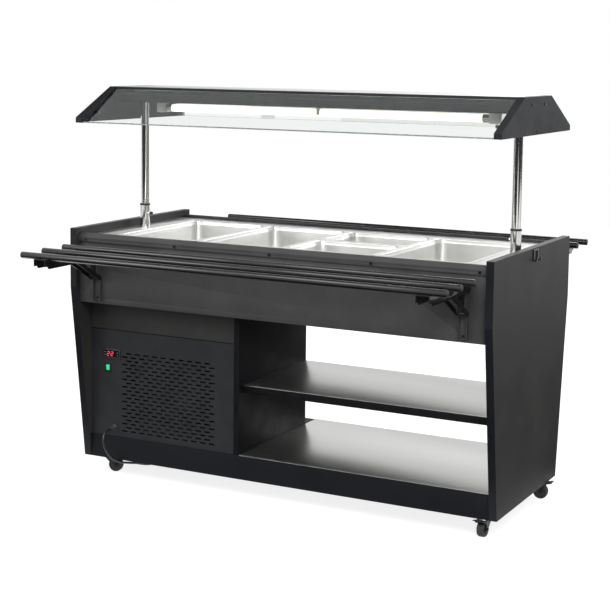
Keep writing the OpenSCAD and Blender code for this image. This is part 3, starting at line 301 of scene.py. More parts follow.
def makeCord():
    line = cordLine()
    curve = bpy.data.curves.new("supplyCord", "CURVE")
    curve.dimensions = "3D"
    curve.bevel_depth, curve.bevel_resolution = cord["diameter"] / 2, 5
    curve.use_fill_caps = True
    spline = curve.splines.new("POLY")
    spline.points.add(len(line) - 1)
    spline.points.foreach_set("co", np.insert(line, 3, 1, axis=1).ravel())
    curve.materials.append(pvcSheath)
    lead = bpy.data.objects.new("supplyCord", curve)
    bpy.context.scene.collection.objects.link(lead)
    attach(lead, "cabinet")
    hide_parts("power_cord", "cord_coil")

    # moulded relief: a round flange, then ribs that taper towards the cord
    low, high = (np.array(v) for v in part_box("strain_relief"))
    middle, front = (low + high) / 2, low[1]
    reach, (wide, narrow) = fittings["relief"], fittings["taper"]
    x = np.linspace(fittings["flange"][-1][0], reach, 60)
    groove = fittings["ribDepth"] * (0.5 + 0.5 * np.cos(2 * math.pi * x / fittings["ribPitch"]))
    ribs = np.stack([x, wide + (narrow - wide) * x / reach - groove], 1)
    profile = np.concatenate([fittings["flange"], ribs, [[reach, 0]]]) * mm
    points, faces = turnedShape(profile, (middle[0], front + reach * mm, middle[2]), (0, -1, 0), 32)
    relief = shapePiece("cordRelief", points, faces, pvcSheath, "cabinet", "cord_rubber", smoothAngle=50)
    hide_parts("strain_relief")

    # two-pin plug: a grip with finger hollows and two round pins with sleeves
    end = line[-1]
    y = np.linspace(0, fittings["grip"], 40)
    start, swell = fittings["gripRadius"]
    at, depth, spread = fittings["hollow"]
    grip = start + swell * np.clip(y / fittings["gripSlope"], 0, 1) ** 0.7 - depth * np.exp(-((y - at) / spread) ** 2)
    grip[-1] -= fittings["gripEase"]
    body = np.concatenate([[[0, 0]], np.stack([y, grip], 1), [[fittings["grip"], 0]]])
    shapes = [turnedShape(body * mm, end, (0, 1, 0), 40)]
    pin = roundedProfile(fittings["pin"], fittings["pinEase"]) * mm
    shapes += [turnedShape(pin, end + np.array([s * fittings["pinAt"] * mm, 0, 0]), (0, 1, 0), 20) for s in (-1, 1)]
    plug = shapePiece("cordPlug", *joinShapes(shapes), pvcSheath, "cabinet", "cord_rubber")
    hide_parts("plug")

    # a strap holds the coil: it lies flat under the turns and its two ends meet in a small buckle on top
    beside, above = fittings["strapRoom"]
    near = cord["coilRadius"] - cord["coilTurns"] * cord["coilStep"] - beside
    far, top = cord["coilRadius"] + beside, cord["coilFloor"] + cord["coilLift"] + above
    thick, half, foot = (fittings[k] for k in ("strapThick", "strapHalf", "strapFoot"))
    loops = [roundedOutline([(near - out, low), (far + out, low), (far + out, top + out), (near - out, top + out)],
                            corner, 0) for out, low, corner in zip((thick, 0), foot, fittings["strapCorner"])]
    rings = [np.insert(loops[number], 1, width, axis=1)
             for number, width in ((0, -half), (0, half), (1, half), (1, -half), (0, -half))]
    first, last = (np.array(v) + (0, 0, top) for v in fittings["buckle"])
    shapes = [(np.array(rings), gridFaces(len(rings), len(rings[0]), capped=False)),
              boxShape(first, last, fittings["buckleEdge"], 0, fittings["buckleCorner"])]
    points, faces = joinShapes(shapes)
    tie = shapePiece("coilStrap", (points + (*cord["coilAt"], 0)) * mm, faces, pvcSheath, "cabinet", "cord_rubber")


makeCord()
print("cord laid")


# high-pressure laminate on chipboard, pressed with a fine pebble: near-black charcoal with a broad soft sheen
laminate = makeFinish("charcoalLaminate", {
    "size": 160, "colors": ("#2f2f2f", "#363635"), "roughness": (0.46, 0.56), "grain": 2.4, "depth": 0.05,
}, IOR=1.48, Specular_IOR_Level=0.2)
# ABS edge band on the boards' cut edges: darker and smoother than the faces, slightly blue
edgeBand = makeFinish("absEdgeBand", {
    "size": 80, "colors": ("#131518", "#181a1e"), "roughness": (0.34, 0.42), "grain": 4, "depth": 0.02,
}, IOR=1.5, Specular_IOR_Level=0.2)


def makeCoat(name, colors, roughness, sheen):
    # polyester powder coat on folded steel sheet, baked: a fine, matt texture
    return makeFinish(name, {"size": 90, "colors": colors, "roughness": roughness, "grain": 1.8, "depth": 0.06},
                      IOR=1.5, Specular_IOR_Level=sheen)


# charcoal, on the fascias, the rails along them and the wall brackets
powderCoat = makeCoat("charcoalPowderCoat", ("#3a3a3b", "#424243"), (0.52, 0.64), 0.2)
# darker, with a trace of blue, on the canopy's box and cheeks
darkCoat = makeCoat("darkPowderCoat", ("#191b1f", "#1f2226"), (0.52, 0.64), 0.2)
# painted shade: darker again, for the weaker light near the floor, and with less sheen, on the plinth
plinthShadedCoat = makeCoat("plinthShadedPowderCoat", ("#101216", "#15171b"), (0.52, 0.64), 0.12)
# between the fascias' tone and the canopy's, on the slotted panel: painted shade for the weaker light low down
grilleShadedCoat = makeCoat("grilleShadedPowderCoat", ("#232426", "#2a2b2d"), (0.5, 0.62), 0.2)
# melamine-faced chipboard: flat black with a dry, slightly dusty face
melamine = makeFinish("blackMelamine", {
    "size": 60, "colors": ("#101012", "#17171a"), "roughness": (0.48, 0.6), "grain": 2, "depth": 0.04,
}, IOR=1.48, Specular_IOR_Level=0.08)
# epoxy enamel on steel tube and strip: black, glossy enough for a sharp line of light along each tube
enamel = makeFinish("blackEnamel", {
    "size": 50, "colors": ("#0f0f11", "#161618"), "roughness": (0.17, 0.26), "grain": 7, "depth": 0.05,
    "strength": 0.25,
}, IOR=1.52)
# 304 stainless sheet, belt-brushed along its length: pale, with long streaks that widen the glints;
# the real lines are 0.1 mm wide and are drawn 1.6 mm wide so that they show
brushedSteel = makeFinish("brushedStainless", {
    "size": 1.6, "stretch": (0.02, 1, 1), "detail": 4.0, "fine": 0.7, "colors": ("#c3c3c1", "#d0d0ce"),
    "roughness": (0.27, 0.35), "grain": 1.6, "depth": 0.01, "strength": 0.05,
}, Metallic=1.0)
# deep-drawn stainless with its satin mill finish, a little cloudy from washing
pressedSteel = makeFinish("drawnStainless", {
    "size": 70, "detail": 2.0, "colors": ("#cdcdcb", "#d6d6d4"), "roughness": (0.29, 0.35), "grain": 60, "depth": 0.05,
    "strength": 0.05,
}, Metallic=1.0)
# stainless tube, polished: a near mirror with faint rings left by the belt
polishedSteel = makeFinish("polishedStainless", {
    "size": 3, "stretch": (0.3, 0.3, 1), "colors": ("#cbcbca", "#dadad8"), "roughness": (0.06, 0.13), "grain": 30,
    "depth": 0.02, "strength": 0.1,
}, Metallic=1.0)
# pressed steel with bright zinc plating: cool grey with a mottled gloss
zincPlate = makeFinish("zincPlate", {
    "size": 9, "detail": 4.0, "colors": ("#8e9092", "#b2b3b3"), "roughness": (0.28, 0.46), "grain": 3, "depth": 0.04,
}, Metallic=1.0)
# the same plating passivated black, on the castors
blackZinc = makeFinish("blackZincPlate", {
    "size": 9, "detail": 4.0, "colors": ("#252628", "#35363a"), "roughness": (0.3, 0.44), "grain": 3, "depth": 0.04,
}, Metallic=1.0)
# steel screws, blackened: dark, with a glint on each head
blackenedSteel = makeFinish("blackenedSteel", {
    "size": 3, "colors": ("#2c2c2e", "#3c3c3e"), "roughness": (0.3, 0.42), "grain": 2, "depth": 0.01,
}, Metallic=1.0)
# glass-filled polyamide, injection moulded: dark, with a spark-eroded texture
polyamide = makeFinish("blackPolyamide", {
    "size": 20, "colors": ("#111113", "#18181a"), "roughness": (0.38, 0.54), "grain": 1.6, "depth": 0.05,
}, IOR=1.53)
# thermoplastic rubber tyre, moulded: matt black, dusty where it rolls
rubber = makeFinish("rubberTread", {
    "size": 7, "detail": 4.0, "colors": ("#151516", "#252423"), "roughness": (0.52, 0.74), "grain": 2.5, "depth": 0.08,
}, IOR=1.52)
# 5 mm float glass, tempered, with polished edges: clear with a faint green
floatGlass = makeFinish("temperedGlass", {
    "size": 300, "colors": ("#fdfffe", "#fafdfb"), "roughness": (0.0, 0.015), "grain": 260, "depth": 0.1,
    "strength": 0.1,
}, IOR=1.52, Transmission_Weight=1.0)
# ground and polished edge of the glass: pale, with the green that shows only along the edge
glassEdge = makeFinish("groundGlassEdge", {
    "size": 30, "colors": ("#c3cfc9", "#d3ded8"), "roughness": (0.2, 0.3), "grain": 2, "depth": 0.02,
}, IOR=1.52, Transmission_Weight=0.4)
# opal lamp glass with the lamp switched on: an even warm white
litGlass = makeFinish("litOpalGlass", {
    "size": 40, "colors": ("#fbf8ef", "#fffcf4"), "roughness": (0.26, 0.34), "grain": 40, "depth": 0.02,
}, IOR=1.5, Emission_Color=hexColor("#fff4dc"), Emission_Strength=1.7)
# spun aluminium lamp cap, bead-blasted: soft grey without streaks
spunAluminium = makeFinish("spunAluminium", {
    "size": 3, "colors": ("#b0b0ae", "#c6c6c3"), "roughness": (0.32, 0.42), "grain": 1, "depth": 0.01,
}, Metallic=1.0)
# ABS, injection moulded: warm white with a soft gloss
whiteAbs = makeFinish("whiteAbs", {
    "size": 30, "colors": ("#cfcfcb", "#dbdbd7"), "roughness": (0.28, 0.36), "grain": 3, "depth": 0.02,
}, IOR=1.54)
# hot-dip galvanised sheet round the foam: grey with flat spangles the size of a coin
galvanised = makeFinish("galvanisedSheet", {
    "size": 22, "cells": True, "colors": ("#8d9090", "#aeb1b0"), "roughness": (0.34, 0.5), "grain": 22, "depth": 0.02,
}, Metallic=1.0)
# drawn copper tube, tarnished to brown in patches
copper = makeFinish("drawnCopper", {
    "size": 14, "detail": 4.0, "colors": ("#b56f4c", "#7d4a35"), "roughness": (0.26, 0.48), "grain": 5, "depth": 0.02,
}, Metallic=1.0)
# rolled aluminium fins
finAlloy = makeFinish("rolledAluminium", {
    "size": 5, "stretch": (1, 1, 0.1), "colors": ("#a5a7a8", "#bfc1c1"), "roughness": (0.3, 0.42), "grain": 2,
    "depth": 0.02,
}, Metallic=1.0)
# tinted acrylic over the display, polished: almost black with a red cast
smokedAcrylic = makeFinish("smokedAcrylic", {
    "size": 20, "colors": ("#110506", "#180809"), "roughness": (0.06, 0.1), "grain": 20, "depth": 0.01,
}, IOR=1.49)
# light-emitting segment under its red diffuser
litSegment = makeFinish("litSegment", {
    "size": 1.5, "colors": ("#c81420", "#e01c28"), "roughness": (0.36, 0.44), "grain": 1, "depth": 0.01,
}, IOR=1.5, Emission_Color=hexColor("#ff5262"), Emission_Strength=1.5)
# translucent polycarbonate rocker with a green lamp behind it
litRocker = makeFinish("litPolycarbonate", {
    "size": 5, "colors": ("#1a8542", "#2fb463"), "roughness": (0.2, 0.28), "grain": 3, "depth": 0.02,
}, IOR=1.58, Emission_Color=hexColor("#2fd28c"), Emission_Strength=0.8)
# printed polyester film over the keys: grey and satin
keyFilm = makeFinish("keyFilm", {
    "size": 6, "colors": ("#6f6a66", "#827d78"), "roughness": (0.36, 0.46), "grain": 2, "depth": 0.02,
}, IOR=1.55)
print("finishes made")

cadFinish = {
    "laminate": laminate, "panel_steel": powderCoat, "black_metal": enamel, "black_board": melamine,
    "stainless": brushedSteel, "polished_steel": polishedSteel, "insulation": galvanised,
    "canopy_board": darkCoat, "glass": floatGlass, "lamp_glass": litGlass, "white_plastic": whiteAbs,
    "black_plastic": polyamide, "window": smokedAcrylic, "rocker": litRocker, "copper": copper,
    "fin_alloy": finAlloy, "compressor_paint": enamel, "zinc_steel": zincPlate, "tread": rubber,
    "cord_rubber": pvcSheath,
}
# nodes whose finish differs from their slot's common one; the plinth's and the slotted panel's coats carry painted
# shade
ownFinish = {"fascia_panels": powderCoat, "canopy_cheeks": darkCoat, "well_liner": pressedSteel,
             "pan_bars": pressedSteel, "kick_panels": plinthShadedCoat, "grille_panel": grilleShadedCoat,
             "cabinet_screws": blackenedSteel, "caster_plates": blackZinc}
ownFinish.update({name: blackZinc for name in nodes if name.endswith("_fork")})
for name, node in nodes.items():
    node.data.materials.clear()
    node.data.materials.append(ownFinish.get(name, cadFinish[slotOf[name]]))


# edge radius in millimetres: sheared sheet and strip about 0.5, folded sheet 0.8, boards and mouldings about 1
softened = {
    "fascia_panels": 1.0, "top_rails": 0.8, "base_deck": 1.0, "kick_panels": 1.0, "middle_shelf": 1.0,
    "shelf_sheets": 0.5, "divider_panel": 1.0, "bay_panels": 1.0, "control_housings": 0.9, "well_liner": 0.5,
    "pan_bars": 0.8, "fan_shroud": 1.0, "canopy_glass": 0.7, "canopy_top": 0.8, "lamp_holders": 1.2,
    "wall_brackets": 0.6, "front_tray_slide": 0.5, "rear_tray_slide": 0.5, "front_struts": 0.6, "rear_struts": 0.6,
    "side_hook": 0.7, "caster_plates": 0.5, "front_left_fork": 0.5, "front_right_fork": 0.5, "rear_left_fork": 0.5,
    "rear_right_fork": 0.5, "front_right_brake": 0.8, "rear_right_brake": 0.8, "rocker_switch": 0.5,
    "canopy_fixings": 0.6, "fan_motor": 1.0, "compressor": 1.5, "well_body": 1.0,
}


# degrees: faces within flat of one plane are joined, and edges sharper than sharp are rounded
softening = {"merge": 1e-6, "flat": 0.6, "sharp": 28, "segments": 2}


def softenEdges(name, radius):
    # a merged copy of a CAD node whose flat faces are made whole again and whose edges are rounded
    edit = bmesh.new()
    edit.from_mesh(nodes[name].data)
    bmesh.ops.remove_doubles(edit, verts=edit.verts, dist=softening["merge"])
    bmesh.ops.dissolve_limit(edit, angle_limit=math.radians(softening["flat"]), verts=edit.verts, edges=edit.edges)
    mesh = bpy.data.meshes.new(name + "Soft")
    edit.to_mesh(mesh)
    edit.free()
    mesh.materials.append(nodes[name].data.materials[0])
    mesh.shade_smooth()
    piece = bpy.data.objects.new(name + "Soft", mesh)
    bpy.context.scene.collection.objects.link(piece)
    bevel = piece.modifiers.new("edges", "BEVEL")
    bevel.width, bevel.segments, bevel.limit_method = radius * mm, softening["segments"], "ANGLE"
    bevel.angle_limit, bevel.harden_normals = math.radians(softening["sharp"]), True
    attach(piece, bodyOf[name])
    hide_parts(name)
    return piece


soft = {name: softenEdges(name, radius) for name, radius in softened.items()}
print("edges softened")


def finishByFacing(piece, material, axis, low, high):
    # faces whose normal leans along an axis by an amount between low and high take a second material
    mesh = piece.data
    mesh.materials.append(material)
    lean = np.empty(len(mesh.polygons) * 3)
    mesh.polygons.foreach_get("normal", lean)
    lean = lean.reshape(-1, 3)[:, axis]
    index = np.where((lean >= low) & (lean <= high), len(mesh.materials) - 1, 0).astype(np.int32)
    mesh.polygons.foreach_set("material_index", index)


# painted reflection: the canopy's charcoal top box takes bright brushed steel on its upward faces only, standing for
# the light its top catches; its ridged sides are charcoal
finishByFacing(soft["canopy_top"], brushedSteel, 2, 0.9, 1.0)

# glass stays flat so that what is behind it isn't bent, and its cut edges are pale
pane = soft["canopy_glass"]
pane.data.shade_flat()
pane.modifiers["edges"].segments, pane.modifiers["edges"].harden_normals = 1, False
finishByFacing(pane, glassEdge, 2, -0.6, 0.6)


# drawn catering pans; sizes are millimetres, and each row is (drawn in from the rim's edge, below the rim's top)
pans = {
    "low": [(33, 150), (25, 149.2), (19, 146.5), (16.3, 142), (15.4, 136), (13.6, 14.5), (13.2, 13.2), (12.7, 12.4),
            (12.6, 11.5), (12.5, 2.6), (12, 1.4), (11, 1.0), (1.2, 1.0)],
    "edge": [(0.5, 0.9), (0.1, 0.6), (0.1, 0.3), (0.5, 0.05), (1.2, 0)],
    "high": [(10.6, 0), (12.2, 0.35), (13.2, 1.5), (13.5, 3), (13.6, 12), (14.4, 13.4), (14.6, 14.6), (16.4, 135),
             (17.4, 140.5), (20.2, 145), (25.6, 148), (33, 149)],
    "rimRadius": 15, "bodyRadius": 30, "lip": 12.5,
}


def makePan(name):
    # a loft of rounded rectangles: up the outside, round the rim's edge and down the inside, 1 mm of wall between
    low, high = (np.array(v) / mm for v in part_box(name))
    middle, half = (low + high)[:2] / 2, (high - low)[:2] / 2
    rings = []
    for inset, drop in pans["low"] + pans["edge"] + pans["high"]:
        x, y = half - inset
        radius = pans["rimRadius"] + (pans["bodyRadius"] - pans["rimRadius"]) * min(inset / pans["lip"], 1)
        flat = roundedOutline([(-x, -y), (x, -y), (x, y), (-x, y)], radius, 0, 9) + middle
        rings.append(np.insert(flat, 2, high[2] - drop, axis=1))
    piece = shapePiece(name + "Drawn", np.array(rings) * mm, gridFaces(len(rings), len(rings[0])), pressedSteel,
                       bodyOf[name], slotOf[name], smoothAngle=50)
    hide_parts(name)


for name in nodes:
    if "_pan_" in name:
        makePan(name)
print("pans drawn")


# boards with a banded edge: the profile lies across the width and height, and thick is the board's own
boards = {
    "endProfile": [(-285, 65), (285, 65), (364, 673), (364, 875), (-364, 875), (-364, 673)],
    "cheekProfile": [(-330, 1232), (330, 1232), (330, 1250), (127, 1352), (-127, 1352), (-330, 1250)],
    "thick": 25, "eased": 0.8, "corner": 2.5,
}


def makeBoards(name, profile):
    # one board at each end of the node; a darker band covers the cut edge, and the edges are eased
    low, high = (np.array(v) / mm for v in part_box(name))
    starts = {round(low[0], 3), round(high[0] - boards["thick"], 3)}
    shapes = []
    for start in starts:
        points, faces = slabShape(boards[profile], start, start + boards["thick"], boards["eased"], 0,
                                  boards["corner"])
        shapes.append((points * mm, faces))
    piece = shapePiece(name + "Banded", *joinShapes(shapes), nodes[name].data.materials[0], bodyOf[name], slotOf[name],
                       smoothAngle=40, flatFaces=True)
    finishByFacing(piece, edgeBand, 0, -0.9, 0.9)
    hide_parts(name)


makeBoards("left_end_panel", "endProfile")
makeBoards("right_end_panel", "endProfile")
makeBoards("canopy_cheeks", "cheekProfile")
print("boards banded")


# tray slide tubes end in black plugs and are welded to the arms; millimetres, for the slide on the front
slides = {
    "tubes": (-439, -549, -659), "height": 819, "end": 736, "arms": (-665, 665), "armWidth": 44, "saddle": 809.4,
    "plug": [(-9, 0), (-9, 8.4), (-8, 9.3), (0, 9.3), (0, 10.7), (0.9, 10.9), (1.9, 10.2), (2.6, 7.8), (3, 0)],
    "bead": 1.5, "beadStep": 2.6, "beadAt": 5.6, "beadShort": 2, "beadFade": 3,
}


def makeSlideEnds(side, body):
    # side is 1 for the front slide, and -1 for the rear one
    shapes = [turnedShape(np.array(slides["plug"]) * mm,
                          np.array((end * slides["end"], y * side, slides["height"])) * mm, (end, 0, 0), 40)
              for y in slides["tubes"] for end in (-1, 1)]
    shapePiece(body + "Plugs", *joinShapes(shapes), polyamide, body, "black_plastic")
    # a bead is a thin bar along x, whose radius swells once for each drop of metal and fades at its ends:
    # r = bead * (0.8 + 0.2 |cos(pi x / step)|) * sqrt((half - |x|) / fade)
    half = slides["armWidth"] / 2
    x = np.linspace(slides["beadShort"] - half, half - slides["beadShort"], 61)
    swell = slides["bead"] * (0.8 + 0.2 * np.abs(np.cos(math.pi * x / slides["beadStep"])))
    swell *= np.clip((half - np.abs(x)) / slides["beadFade"], 0, 1) ** 0.5
    profile = np.concatenate([[[x[0], 0]], np.stack([x, swell], 1), [[x[-1], 0]]]) * mm
    shapes = [turnedShape(profile, np.array((arm, y * side + s * slides["beadAt"], slides["saddle"])) * mm,
                          (1, 0, 0), 10)
              for arm in slides["arms"] for y in slides["tubes"] for s in (-1, 1)]
    shapePiece(body + "Welds", *joinShapes(shapes), enamel, body, "black_metal", smoothAngle=60)


makeSlideEnds(1, "front_tray_slide_body")
makeSlideEnds(-1, "rear_tray_slide_body")
print("slides finished")


# posts and sleeves in millimetres; profiles are (height, radius), the foot is (near, far) from the post's axis,
# and the screw's rows are (distance from that axis, radius, depth of the flutes)
posts = {
    "at": 702,
    "tube": [(770, 0), (770, 14.4), (770.5, 15), (1292.6, 15), (1293.5, 15.6), (1294, 17), (1294, 24.2), (1294.6, 25),
             (1296.5, 25), (1297, 24.6), (1297, 0)],
    "sleeve": [(615, 15.4), (615, 17.2), (615.4, 17.5), (926, 17.5), (931, 17.5), (931.8, 17.1), (932, 16.4),
               (931.6, 15.4), (615, 15.4)],
    "collar": [(925.6, 17.3), (925.6, 18.1), (926.2, 18.5), (931.2, 18.5), (932, 17.9), (932.2, 16.6), (931.4, 15.3),
               (930, 15.3), (925.6, 17.3)],
    "boss": [(16, 0), (16, 7.6), (17.6, 6.4), (21.2, 6), (22, 5.5), (22, 0)],
    "foot": (13.4, 37.4), "footHalf": 17.5, "footEdge": 0.8, "feet": ((618, 12), (834, 12)),
    "screw": [(15.3, 0, 0), (15.3, 3, 0), (22.3, 3, 0), (22.3, 4.6, 0), (22.8, 5.4, 0.2), (23.5, 6, 0.6),
              (29.9, 6, 0.6), (30.7, 5.5, 0.3), (31.3, 4.4, 0), (30.8, 2.6, 0), (30.8, 0, 0)],
    "screwAt": 897, "flutes": 22,
}


def makePosts():
    shapes = [turnedShape(np.array(posts["tube"]) * mm, (s * posts["at"] * mm, 0, 0), (0, 0, 1), 72) for s in (-1, 1)]
    piece = shapePiece("postTubes", *joinShapes(shapes), polishedSteel, "canopy", "polished_steel")
    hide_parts("post_tubes")

    shapes, rings = [], []
    for s in (-1, 1):
        at = (s * posts["at"] * mm, 0, 0)
        shapes.append(turnedShape(np.array(posts["sleeve"]) * mm, at, (0, 0, 1), 72))
        shapes.append(turnedShape(np.array(posts["boss"]) * mm, (at[0], 0, posts["screwAt"] * mm), (-s, 0, 0), 32))
        rings.append(turnedShape(np.array(posts["collar"]) * mm, at, (0, 0, 1), 72))
        for z, height in posts["feet"]:
            x = sorted(s * (posts["at"] + out) for out in posts["foot"])
            points, faces = boxShape((x[0], -posts["footHalf"], z), (x[1], posts["footHalf"], z + height),
                                     posts["footEdge"], 2)
            shapes.append((points * mm, faces))
    piece = shapePiece("postSleeves", *joinShapes(shapes), polishedSteel, "cabinet", "polished_steel",
                       flatFaces=True)
    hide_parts("post_sleeves")
    shapePiece("sleeveCollars", *joinShapes(rings), polyamide, "cabinet", "black_plastic")


def makeThumbScrew(side, name):
    # the head's radius dips once for each flute of its knurl: r = R - d * (1 - |sin(n a / 2)|)
    a = np.linspace(0, 2 * math.pi, posts["flutes"] * 8, endpoint=False)
    dip = 1 - np.abs(np.sin(posts["flutes"] * a / 2))
    out, radius, depth = (np.array(column)[:, None] for column in zip(*posts["screw"]))
    r = radius - depth * dip[None, :]
    points = np.stack([side * (posts["at"] - out) + 0 * r, r * np.cos(a), posts["screwAt"] + r * np.sin(a)], -1)
    piece = shapePiece(name + "Knurled", points * mm, gridFaces(len(r), len(a), capped=False), polyamide,
                       name + "_body", slotOf[name])
    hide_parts(name)


makePosts()
makeThumbScrew(-1, "left_thumb_screw")
makeThumbScrew(1, "right_thumb_screw")
print("posts turned")


# lamp: a glass tube with a cap at each end, millimetres along x from the middle
lamp = {"height": 1275, "length": 606.6, "radius": 13, "inCap": 2, "under": 0.6, "glassEase": 3,
        "cap": 24, "lip": 4, "lipUnder": 0.5, "capEase": 1.2}


def makeLamp():
    end, r = lamp["length"], lamp["radius"]
    reach, thin = end - lamp["inCap"], r - lamp["under"]
    glass = roundedProfile([(-reach, 0), (-reach, thin), (reach, thin), (reach, 0)], lamp["glassEase"])
    piece = shapePiece("lampGlass", *turnedShape(glass * mm, (0, 0, lamp["height"] * mm), (1, 0, 0), 56), litGlass,
                       "canopy", "lamp_glass")
    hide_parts("lamp_tube")
    cap = roundedProfile([(0, 0), (0, r), (lamp["cap"] - lamp["lip"], r), (lamp["cap"], r - lamp["lipUnder"]),
                          (lamp["cap"], 0)], lamp["capEase"])
    shapes = [turnedShape(cap * mm, (-s * end * mm, 0, lamp["height"] * mm), (s, 0, 0), 48) for s in (-1, 1)]
    shapePiece("lampCaps", *joinShapes(shapes), spunAluminium, "canopy", "lamp_glass")


makeLamp()
print("lamp made")


# display: two digits of seven bars under the window, and four keys beside them; millimetres from its middle
display = {
    "height": 13.5, "width": 9.6, "bar": 1.8, "gap": 0.4, "pitch": 15.2, "shift": -4, "slant": 0.12, "shrink": 0.92,
    "proud": 0.25, "sunk": 0.3, "edge": 0.12, "corner": 0.2, "digit": "abged",
    "keys": ((-25.5, 4.6), (-25.5, -4.6), (25.5, 4.6), (25.5, -4.6)), "keyHalf": (2.2, 1.54), "keyProud": 0.35,
    "keySunk": 0.4, "keyEdge": 0.3, "keyCorner": 1.2,
}


def makeDisplay():
    low, high = (np.array(v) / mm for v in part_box("display_window"))
    middle, front = (low + high) / 2, low[1]
    half, tall, bar = display["width"] / 2, display["height"] / 2, display["bar"]
    # a bar is a long hexagon; its row gives where its middle is, and whether it stands
    bars = {"a": (0, tall, 0), "g": (0, 0, 0), "d": (0, -tall, 0), "b": (half, tall / 2, 1), "c": (half, -tall / 2, 1),
            "e": (-half, -tall / 2, 1), "f": (-half, tall / 2, 1)}
    shapes = []
    for place in (-0.5, 0.5):
        for letter in display["digit"]:
            x, z, stands = bars[letter]
            reach = (tall / 2 if stands else half) - display["gap"]
            flat = np.array([(-reach, 0), (-reach + bar / 2, -bar / 2), (reach - bar / 2, -bar / 2), (reach, 0),
                             (reach - bar / 2, bar / 2), (-reach + bar / 2, bar / 2)])
            flat = (flat[:, ::-1] if stands else flat) * display["shrink"] + (x, z)
            flat[:, 0] += flat[:, 1] * display["slant"] + display["shift"] + place * display["pitch"]
            points, faces = slabShape(flat + middle[[0, 2]], front - display["proud"], front + display["sunk"],
                                      display["edge"], 1, display["corner"], 3)
            shapes.append((points * mm, faces))
    shapePiece("displayDigits", *joinShapes(shapes), litSegment, "cabinet", "window")
    shapes = []
    for x, z in display["keys"]:
        at, (wide, upright) = middle + (x, 0, z), display["keyHalf"]
        points, faces = boxShape((at[0] - wide, front - display["keyProud"], at[2] - upright),
                                 (at[0] + wide, front + display["keySunk"], at[2] + upright),
                                 display["keyEdge"], 1, display["keyCorner"])
        shapes.append((points * mm, faces))
    shapePiece("displayKeys", *joinShapes(shapes), keyFilm, "cabinet", "window")


makeDisplay()
print("display lit")


# castor wheels; profiles are (across, radius) in millimetres, and turn is the angle of the fork in degrees
wheels = {
    "tyre": [(-11.2, 17.8), (-12, 18.6), (-12, 21.4), (-11.3, 22.9), (-9.4, 24.2), (-6, 24.85), (0, 25), (6, 24.85),
             (9.4, 24.2), (11.3, 22.9), (12, 21.4), (12, 18.6), (11.2, 17.8), (-11.2, 17.8)],
    "hub": [(-12, 3.3), (-12, 7.4), (-11.5, 8), (-9.4, 8.3), (-9, 9), (-9, 15.6), (-9.5, 16.4), (-11.3, 17.2),
            (-11.4, 17.9), (11.4, 17.9), (11.3, 17.2), (9.5, 16.4), (9, 15.6), (9, 9), (9.4, 8.3), (11.5, 8),
            (12, 7.4), (12, 3.3), (-12, 3.3)],
    "ribs": 6, "rib": (8, 16.6, 1.1, 11),
    "nut": [(13.4, 0), (13.4, 4.8), (15.6, 5.2), (18.3, 5.2), (19.2, 4.2), (19.4, 0)],
    "turns": {"front_left": 10, "front_right": -92, "rear_left": 200, "rear_right": 5},
}


def makeWheel(corner, turn):
    name = corner + "_wheel"
    low, high = (np.array(v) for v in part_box(name))
    centre, turn = (low + high) / 2, math.radians(turn)
    across = np.array((-math.sin(turn), math.cos(turn), 0))
    along = np.array((math.cos(turn), math.sin(turn), 0))
    tyre = shapePiece(name + "Tyre", *turnedShape(np.array(wheels["tyre"]) * mm, centre, across, 56), rubber,
                      name + "_body", "tread")
    shapes = [turnedShape(np.array(wheels["hub"]) * mm, centre, across, 48)]
    inner, outer, half, reach = wheels["rib"]
    for a in np.arange(wheels["ribs"]) * 2 * math.pi / wheels["ribs"]:
        points, faces = boxShape((inner, -reach, -half), (outer, reach, half), 0.5, 0)
        out = math.cos(a) * along + math.sin(a) * np.array((0, 0, 1))
        side = -math.sin(a) * along + math.cos(a) * np.array((0, 0, 1))
        turned = points[..., :1] * out + points[..., 1:2] * across + points[..., 2:] * side
        shapes.append((centre + turned * mm, faces))
    hub = shapePiece(name + "Hub", *joinShapes(shapes), polyamide, name + "_body", "black_plastic", flatFaces=True)
    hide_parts(name)
    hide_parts(name)
    nut = np.array(wheels["nut"]) * mm
    shapes = [turnedShape(nut, centre, across * s, 6) for s in (-1, 1)]
    shapePiece(corner + "AxleNuts", *joinShapes(shapes), blackZinc, corner + "_fork_body", "zinc_steel", smoothAngle=30)


for corner, turn in wheels["turns"].items():
    makeWheel(corner, turn)
print("wheels turned")


# hexagon bolts hold each castor plate to the base; millimetres from the swivel's axis
bolts = {"at": 20, "castors": (708, 220), "plate": 3, "tall": 2.6,
         "head": [(0, 0), (0, 3.4), (0.5, 3.9), (2.6, 3.9), (2.6, 0)]}


def makeBolts():
    # the heads hang under the plates
    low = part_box("caster_plates")[1][2] / mm - bolts["plate"] - bolts["tall"]
    head = np.array(bolts["head"][::-1]) * mm * (-1, 1)
    (x, y), at = bolts["castors"], bolts["at"]
    shapes = [turnedShape(head, np.array((sx * x + dx * at, sy * y + dy * at, low)) * mm, (0, 0, -1), 6)
              for sx in (-1, 1) for sy in (-1, 1) for dx in (-1, 1) for dy in (-1, 1)]
    shapePiece("castorBolts", *joinShapes(shapes), blackZinc, "cabinet", "zinc_steel", smoothAngle=30)


makeBolts()


# fan: curved blades on a moulded hub, and the screws of its shroud; millimetres, blade angles in degrees
fan = {"blades": 5, "root": 24, "tip": 93, "round": 6, "chord": (34, 62), "lag": 24, "rise": 8.6, "thick": 1.7,
       "hub": 26, "hubHalf": 10, "screw": [(0, 0), (0, 4.6), (0.5, 4.8), (1.6, 4.0), (2.4, 2.4), (2.6, 0)],
       "screwInset": 10, "screwSpan": 200}


